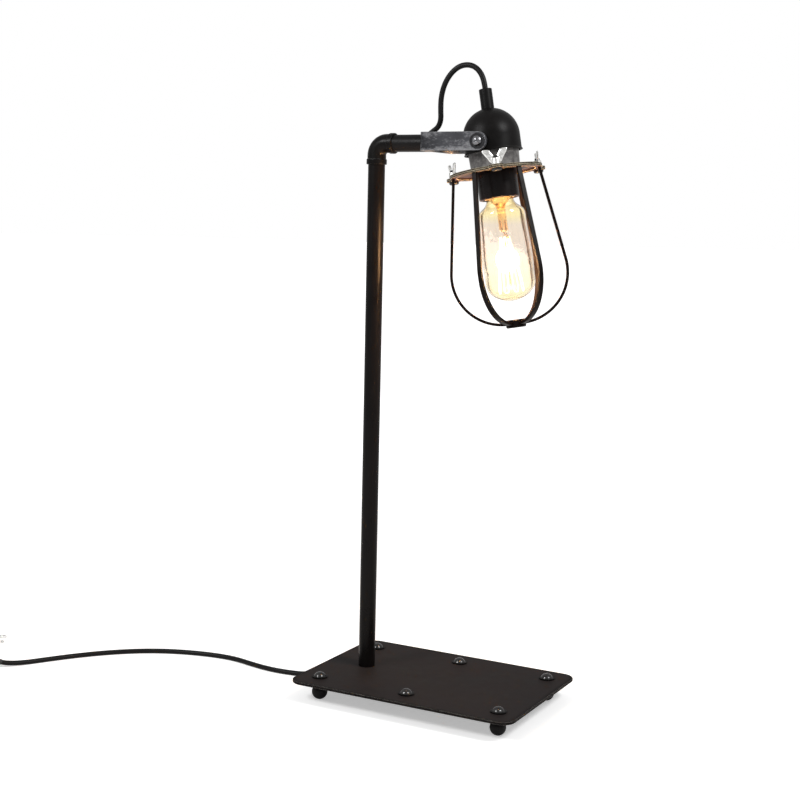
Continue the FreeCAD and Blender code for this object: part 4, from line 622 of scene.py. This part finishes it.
# Pivot screws. Two domed screws plated in dark nickel, with a cross recess. They go through the
# yoke into round nuts in the dome, and the head tilts on them.
nickel = painted("wing_nickel", (0.9, 0.89, 0.86), (0.75, 0.73, 0.68), shine=0.26, edge=0.25,
                 edge_wear=0.2, patch_wear=0.15, patch_size=3, grain_size=0.3, bump=0.12,
                 specular=0.5, bare_metal=1.0)
all_metal(nickel)
dress(nickel, "plug_pins")
gunmetal = painted("pivot_gunmetal", (0.2, 0.2, 0.21), (0.5, 0.5, 0.5), shine=0.24, edge=0.2,
                   patch_size=3, grain_size=0.3, bump=0.12, specular=0.5, bare_metal=1.0)
all_metal(gunmetal)
PIVOT = Vector((44.8, 0, 526.5))
TILT = math.radians(10.15)
head_matrix = Matrix.Translation(PIVOT * MM) @ Matrix.Rotation(-TILT, 4, "Y")


def cross_cut(piece, at, size):
    """Cuts a cross recess for a driver into a screw head, with its sizes in millimetres."""
    for wide in ((size, size * 0.2), (size * 0.2, size)):
        tool = primitive("cube", "cutter", at, (*wide, size * 0.8), size=1)
        finished(piece, "BOOLEAN", operation="DIFFERENCE", object=tool, solver="EXACT")
        bpy.data.meshes.remove(tool.data)


def again(piece, name):
    """A copy of a piece, with its own mesh."""
    twin = piece.copy()
    twin.data = piece.data.copy()
    twin.name = name
    bpy.context.scene.collection.objects.link(twin)
    return twin


def joined(part, whole):
    """Makes a part one mesh with a whole, which keeps its own name."""
    only(part)
    whole.select_set(True)
    bpy.context.view_layer.objects.active = whole
    bpy.ops.object.join()


pivot_screw = primitive("uv_sphere", "pivot_screw", (0, 0, 31.3), (5.2, 5.2, 5.2), segments=40,
                        ring_count=24, radius=1)
bpy.ops.object.mode_set(mode="EDIT")
bpy.ops.mesh.select_all(action="SELECT")
bpy.ops.mesh.bisect(plane_co=(0, 0, 33.32 * MM), plane_no=(0, 0, 1), use_fill=True,
                    clear_inner=True)
bpy.ops.object.mode_set(mode="OBJECT")
cross_cut(pivot_screw, (0, 0, 36.4), 3.6)
finished(pivot_screw, "BEVEL", width=0.12 * MM, segments=2, limit_method="ANGLE")
shank = primitive("cylinder", "shank", (0, 0, 27.2), (2.98, 2.98, 12.6), vertices=32, radius=1,
                  depth=1)
joined(shank, pivot_screw)
smooth()
for name, side, turn in (("pivot_screw_front", 90, 25), ("pivot_screw_back", -90, 70)):
    placed(again(pivot_screw, name), head_matrix @ Matrix.Rotation(math.radians(side), 4, "X")
           @ Matrix.Rotation(math.radians(turn), 4, "Z"),
           gunmetal, "head", "pivot_nickel", "pivot_screws")
bpy.data.meshes.remove(pivot_screw.data)

# Dome, collar and strain relief. The spun cap of the head in satin black, a paler rubbed drum below
# it, and a plain black sleeve where the cord goes in.
dome_paint = painted("dome_black", (0.003, 0.0025, 0.0024), (0.06, 0.055, 0.05), shine=0.42,
                     patch_wear=0.18, patch_size=11, grain_size=0.6, bump=0.35, specular=0.11)
collar_paint = painted("collar_grey", (0.11, 0.104, 0.102), (0.26, 0.25, 0.24), shine=0.5,
                       patch_wear=0.42, patch_size=8, grain_size=0.5, bump=0.35, specular=0.15,
                       bare_metal=0.4)
relief_plastic = moulded("relief_plastic", (0.0032, 0.003, 0.003), shine=0.42, grain_size=0.4,
                         specular=0.12)
dress(dome_paint, "dome")
dress(collar_paint, "collar")
dress(relief_plastic, "strain_relief")
dress(cord_rubber, "head_lead")

# Lamp holder. A moulded black bakelite cap and sleeve, with a ceramic insulator, a brass screw
# shell and a brass centre contact inside them.
bakelite = moulded("holder_bakelite", (0.0042, 0.0022, 0.002), shine=0.32, grain_size=0.8,
                   bump=0.12, specular=0.16)
dress(bakelite, "holder_cap", "holder_sleeve")
ceramic = moulded("ceramic_white", (0.78, 0.77, 0.72), shine=0.25, grain_size=0.6, bump=0.15,
                  drift=0.06)
dress(ceramic, "holder_insulator")
brass = painted("brass_shell", (0.72, 0.53, 0.24), (0.5, 0.34, 0.14), shine=0.26, edge=0.2,
                edge_wear=0.2, patch_wear=0.22, patch_size=4, grain_size=0.4, bump=0.12,
                specular=0.5, bare_metal=1.0)
all_metal(brass)
dress(brass, "screw_shell", "centre_contact", "bulb_cap", "bulb_contact")

# Cage. An eared plate and an eared ring of sheet, one above the other. Their reddish-brown tone is
# partly bronze and partly painted warm light from the bulb, and their bright yellowish edges are
# partly rubbed metal and partly a painted highlight. Six flat black ribs run down from the ring
# into a slotted boss below the bulb.
# Partly painted light: a warm reddish tone for the bulb's glow and pale yellow edges as a
# highlight.
sheet_bronze_and_painted_light = painted("cage_bronze_and_painted_light", (0.0125, 0.0052, 0.0044), (0.8, 0.72, 0.5), shine=0.42,
                      edge=0.8, edge_wear=1.0, patch_wear=0.14, patch_size=24, grain_size=1.2,
                      bump=0.2, specular=0.12, bare_metal=0.4)
rib_paint = painted("rib_black", (0.0036, 0.0018, 0.0014), (0.08, 0.04, 0.025), shine=0.36,
                    edge=0.6, edge_wear=0.4, patch_wear=0.1, patch_size=8, grain_size=0.5,
                    bump=0.22, specular=0.09)
dress(sheet_bronze_and_painted_light, "cage_plate", "cage_ring")
dress(rib_paint, "cage_boss", *[f"cage_rib_{i}" for i in range(1, 7)])

# Cage screws. Three pan-headed M5 screws come up through the ring and the plate; their threads
# show above the wing nuts.
EAR_TURNS, EAR_RADIUS = (55.2, 175.2, 295.2), 45
PLATE_TOP, RING_LOW = -24.6, -27.6


def threaded(name, radius, depth, pitch, low, high, sides=28):
    """A rod with a screw thread from one height to another, with its ends brought in."""
    rod = primitive("cylinder", name, (0, 0, (low + high) / 2), (radius, radius, high - low),
                    vertices=sides, radius=1, depth=1)
    rings = round((high - low) / pitch * 8)
    bpy.ops.object.mode_set(mode="EDIT")
    mesh = bmesh.from_edit_mesh(rod.data)
    for edge in mesh.edges:
        edge.select_set(abs(edge.verts[0].co.z - edge.verts[1].co.z) > MM * (high - low) / 2)
    bmesh.update_edit_mesh(rod.data)
    bpy.ops.mesh.select_mode(type="EDGE")
    bpy.ops.mesh.subdivide(number_cuts=rings)
    bpy.ops.object.mode_set(mode="OBJECT")
    for vertex in rod.data.vertices:
        x, y, z = vertex.co / MM
        across = math.hypot(x, y)
        if across > radius * 0.5:
            turn = (z / pitch - math.atan2(y, x) / math.tau) % 1
            inward = depth * (1 - abs(2 * turn - 1) ** 0.8)
            inward = max(inward, depth * (1 - min(high - z, z - low) / (0.6 * pitch)))
            vertex.co.xy = vertex.co.xy * ((radius - inward) / across)
    only(rod)
    smooth(50)
    return rod


cage_screw = primitive("cylinder", "cage_screw", (0, 0, RING_LOW - 1.4), (4.5, 4.5, 2.8),
                       vertices=40, radius=1, depth=1)
bpy.ops.object.mode_set(mode="EDIT")
pick(cage_screw, lambda at, way: way.z < -0.9)
bpy.ops.mesh.bevel(offset=1.5 * MM, segments=5, affect="EDGES")
bpy.ops.object.mode_set(mode="OBJECT")
cross_cut(cage_screw, (0, 0, RING_LOW - 2.9), 3.4)
smooth()
shank = threaded("thread", 2.5, 0.42, 0.8, RING_LOW - 0.1, PLATE_TOP + 7.6)
joined(shank, cage_screw)
for i, turn in enumerate(EAR_TURNS):
    placed(again(cage_screw, f"cage_screw_{i + 1}"),
           head_matrix @ Matrix.Rotation(math.radians(turn), 4, "Z")
           @ Matrix.Translation(Vector((EAR_RADIUS, 0, 0)) * MM) @ Matrix.Rotation(i * 0.9, 4, "Z"),
           bolt_paint, "head", "zinc_steel", "cage_screws")
bpy.data.meshes.remove(cage_screw.data)

# Wing nuts. Cast and nickel plated, with a conical hub and two rounded ears. Each one stops where
# its thread is tight, so the three stand at different turns.
wing = primitive("cube", "wing", (3.0, 0, 3.0), (4.6, 2.5, 4.2), size=1)
bpy.ops.object.mode_set(mode="EDIT")
pick(wing, lambda at, way: way.z > 0.9)
bpy.ops.transform.resize(value=(1.5, 1, 1), center_override=(2.2 * MM, 0, 5.1 * MM))
for move, size in (((1.3, 0, 2.0), (1.12, 0.92, 1)), ((1.7, 0, 2.7), (1.04, 1, 1)),
                   ((1.3, 0, 2.2), (1.0, 0.94, 1)), ((0.5, 0, 1.1), (0.86, 0.9, 1)),
                   ((0.1, 0, 0.4), (0.6, 0.8, 1))):
    draw_out(wing, move, size)
bpy.ops.object.mode_set(mode="OBJECT")
finished(wing, "SUBSURF", levels=2, render_levels=2)
finished(wing, "MIRROR", use_axis=(True, False, False), use_mirror_merge=False)
hub = primitive("cylinder", "hub", (0, 0, 2.8), (4.1, 4.1, 5.6), vertices=36, radius=1, depth=1)
bpy.ops.object.mode_set(mode="EDIT")
pick(hub, lambda at, way: way.z > 0.9)
bpy.ops.transform.resize(value=(0.84, 0.84, 1), center_override=(0, 0, 5.6 * MM))
bpy.ops.object.mode_set(mode="OBJECT")
joined(wing, hub)
finished(hub, "REMESH", mode="VOXEL", voxel_size=0.3 * MM)
finished(hub, "SMOOTH", factor=0.5, iterations=7)
bpy.ops.object.shade_smooth()
for i, (ear, turn) in enumerate(zip(EAR_TURNS, (64, -42, 90))):
    placed(again(hub, f"wing_nut_{i + 1}"), head_matrix @ Matrix.Rotation(math.radians(ear), 4, "Z")
           @ Matrix.Translation(Vector((EAR_RADIUS, 0, PLATE_TOP)) * MM)
           @ Matrix.Rotation(math.radians(turn), 4, "Z"),
           nickel, "head", "wing_nickel", "wing_nuts")
bpy.data.meshes.remove(hub.data)

# Bulb. A clear tubular bulb on a brass screw cap. Its glass is faintly amber where it is seen along
# its wall, and stands on a tinted stem. Up its height the glass carries a painted warm glow,
# yellowest at the top under the holder.
glass, tree, shader = new_material("bulb_glass")
grazing = add_node(tree, "LayerWeight", {"Blend": 0.3})
amber = add_node(tree, "MapRange", {
    "Value": grazing.outputs["Facing"], "From Min": 0.25, "From Max": 0.95})
place = add_node(tree, "TexCoord")
parts = add_node(tree, "SeparateXYZ", {"Vector": place.outputs["Object"]})
# Painted glow: the glass's tint changes with height, warm all along and brightest and yellowest at
# the top.
up = add_node(tree, "MapRange", {
    "Value": parts.outputs["Z"], "From Min": 0.385, "From Max": 0.463})
painted_glow_by_height = add_node(tree, "ValToRGB", {"Fac": up.outputs[0]})
marks = painted_glow_by_height.color_ramp.elements
marks[0].color, marks[-1].color = (0.93, 0.9, 0.7, 1), (1.0, 0.93, 0.68, 1)
for stop, tone in ((0.35, (0.94, 0.9, 0.78)), (0.62, (0.93, 0.86, 0.785)),
                   (0.88, (0.94, 0.87, 0.78))):
    marks.new(stop).color = (*tone, 1)
tint = add_node(tree, "Mix", {
    0: amber.outputs[0], 6: painted_glow_by_height.outputs[0], 7: (0.86, 0.54, 0.3, 1)}, data_type="RGBA")
tree.links.new(tint.outputs[2], shader.inputs["Base Color"])
for label, value in (("Roughness", 0.03), ("IOR", 1.45), ("Transmission Weight", 1.0)):
    shader.inputs[label].default_value = value
dress(glass, "bulb_glass")
stem_glass, tree, shader = new_material("stem_glass")
place = add_node(tree, "TexCoord")
cloud = add_node(tree, "TexNoise", {"Vector": place.outputs["Object"], "Scale": 220, "Detail": 3})
tint = add_node(tree, "Mix", {
    0: cloud.outputs[0], 6: (0.9, 0.68, 0.42, 1), 7: (0.72, 0.44, 0.22, 1)}, data_type="RGBA")
tree.links.new(tint.outputs[2], shader.inputs["Base Color"])
for label, value in (("Roughness", 0.15), ("IOR", 1.5), ("Transmission Weight", 1.0)):
    shader.inputs[label].default_value = value
dress(stem_glass, "bulb_stem")
black_glass = moulded("bulb_black_glass", (0.012, 0.012, 0.012), shine=0.15, bump=0.1)
dress(black_glass, "bulb_insulator")

# Filament. A squirrel cage of long loops hung from two lead wires, wide at its lower bends, glowing
# yellow-white.
glow, tree, shader = new_material("filament_tungsten")
place = add_node(tree, "TexCoord")
coil_marks = add_node(tree, "TexWave", {
    "Vector": place.outputs["Object"], "Scale": 900.0, "Distortion": 0.5}, bands_direction="Z")
heat = add_node(tree, "Mix", {
    0: coil_marks.outputs[1], 6: (1.0, 0.66, 0.26, 1), 7: (1.0, 0.84, 0.42, 1)},
    data_type="RGBA")
tree.links.new(heat.outputs[2], shader.inputs["Emission Color"])
for label, value in (("Base Color", (0.6, 0.4, 0.2, 1)), ("Roughness", 0.5),
                     ("Emission Strength", 5.0)):
    shader.inputs[label].default_value = value
LOOPS, TOP_BEND, LOW_BEND = 8, -86.4, -135.9
strand = math.pi / (2 * LOOPS)
filament_points = []
for i in range(LOOPS):
    middle = math.tau * i / LOOPS
    for radius, turn, height in (
            (4.6, -strand, TOP_BEND - 1), (7.6, -strand, -104), (10.6, -strand, -122),
            (11.6, -strand, LOW_BEND + 2), (11.4, -strand * 0.5, LOW_BEND),
            (11.4, strand * 0.5, LOW_BEND), (11.6, strand, LOW_BEND + 2), (10.6, strand, -122),
            (7.6, strand, -104), (4.6, strand, TOP_BEND - 1), (4.4, strand * 1.5, TOP_BEND + 1),
            (4.4, strand * 2.5, TOP_BEND + 1)):
        filament_points.append((radius * math.cos(middle + turn),
                                radius * math.sin(middle + turn), height))
filament_wire = route("squirrel_filament", filament_points[:-2], 0.62)
tube(filament_wire)
placed(filament_wire, head_matrix, glow, "head", "filament_tungsten", "filament")
lead_steel = painted("lead_steel", (0.1, 0.075, 0.05), (0.3, 0.22, 0.14), shine=0.3, edge=0.1,
                     patch_size=3, bare_metal=1.0)
for i, (start, end) in enumerate((((1.4, 0.3), filament_points[0]),
                                  ((-1.4, -0.3), filament_points[-3]))):
    lead_wire = route(f"lead_wire_{i + 1}", [
        (*start, -70), (*start, -80.4), (end[0] * 0.7, end[1] * 0.7, -84), end], 0.8)
    tube(lead_wire)
    placed(lead_wire, head_matrix, lead_steel, "head", "filament_tungsten")
support = route("support_spider", [(0, 0, -80), (0, 0, -100), (0, 0, -128)], 0.7)
tube(support)
placed(support, head_matrix, lead_steel, "head", "filament_tungsten")
for piece in (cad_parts["bulb_glass"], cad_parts["bulb_stem"], filament_wire):
    piece.visible_shadow = False

# Table top and studio. A plain white table under a white surround, two large soft lamps in front
# of the lamp to its left and right, and the bulb's own warm light, which tilts with the head.
only()
bpy.ops.mesh.primitive_plane_add(size=60, location=(0, 0, 0))
table_top = bpy.context.object
table_top.name = "table_top"


def lit_background(tree, low, high, mirrored=0.35):
    """A strength for what the camera and glass see, less in reflections, and one that lights."""
    path = add_node(tree, "LightPath")
    rays = [path.outputs[f"Is {kind} Ray"] for kind in ("Camera", "Glossy", "Transmission")]
    dimmed = add_node(tree, "Math", {0: rays[1], 1: mirrored}, operation="MULTIPLY")
    pair = add_node(tree, "Math", {0: rays[0], 1: dimmed.outputs[0]}, operation="MAXIMUM")
    seen = add_node(tree, "Math", {0: pair.outputs[0], 1: rays[2]}, operation="MAXIMUM")
    return add_node(tree, "MapRange", {"Value": seen.outputs[0], "To Min": low, "To Max": high})


table_white, tree, shader = new_material("table_white")
place = add_node(tree, "TexCoord")
grain = add_node(tree, "TexNoise", {"Vector": place.outputs["Object"], "Scale": 40, "Detail": 4})
tone = add_node(tree, "Mix", {
    0: grain.outputs[0], 6: (0.88, 0.88, 0.88, 1), 7: (0.92, 0.92, 0.92, 1)}, data_type="RGBA")
tree.links.new(tone.outputs[2], shader.inputs["Base Color"])
shader.inputs["Roughness"].default_value = 0.9
shader.inputs["Specular IOR Level"].default_value = 0.1
away = add_node(tree, "VectorMath", {0: place.outputs["Object"]}, operation="LENGTH")
fading = add_node(tree, "MapRange", {
    "Value": away.outputs["Value"], "From Min": 0.3, "From Max": 1.6, "To Min": 0.42,
    "To Max": 1.0}, interpolation_type="SMOOTHSTEP")
strength = lit_background(tree, 0.0, 1.0)
bright = add_node(tree, "Math", {0: strength.outputs[0], 1: fading.outputs[0]},
                  operation="MULTIPLY")
white = add_node(tree, "Emission", {"Color": (1, 1, 1, 1), "Strength": bright.outputs[0]})
both = add_node(tree, "AddShader", {0: shader.outputs[0], 1: white.outputs[0]})
tree.links.new(both.outputs[0], tree.nodes["Material Output"].inputs["Surface"])
table_top.data.materials.append(table_white)

world = bpy.data.worlds.new("studio")
bpy.context.scene.world = world
world.use_nodes = True
tree = world.node_tree
background = tree.nodes["Background"]
background.inputs["Color"].default_value = (1, 1, 1, 1)
tree.links.new(lit_background(tree, 0.36, 1.0).outputs[0], background.inputs["Strength"])

for name, turn, rise, power in (("left_softbox", -28, 34, 13), ("right_softbox", 80, 42, 13.5)):
    turn, rise = math.radians(turn), math.radians(rise)
    away = Vector((math.sin(turn) * math.cos(rise), -math.cos(turn) * math.cos(rise),
                   math.sin(rise)))
    bpy.ops.object.light_add(type="AREA", location=Vector((-0.02, 0, 0.28)) + away * 1.5)
    softbox = bpy.context.object
    softbox.name = name
    softbox.data.energy, softbox.data.size = power, 0.36
    softbox.rotation_euler = away.to_track_quat("Z", "Y").to_euler()

bpy.ops.object.light_add(type="POINT", location=(0.0633, 0, 0.4225))
bulb_light = bpy.context.object
bulb_light.name = "bulb_light"
bulb_light.data.energy, bulb_light.data.shadow_soft_size = 2.5, 0.012
bulb_light.data.color = (1.0, 0.54, 0.25)
bulb_light.parent = filament_wire

bpy.context.scene.view_settings.view_transform = "Standard"
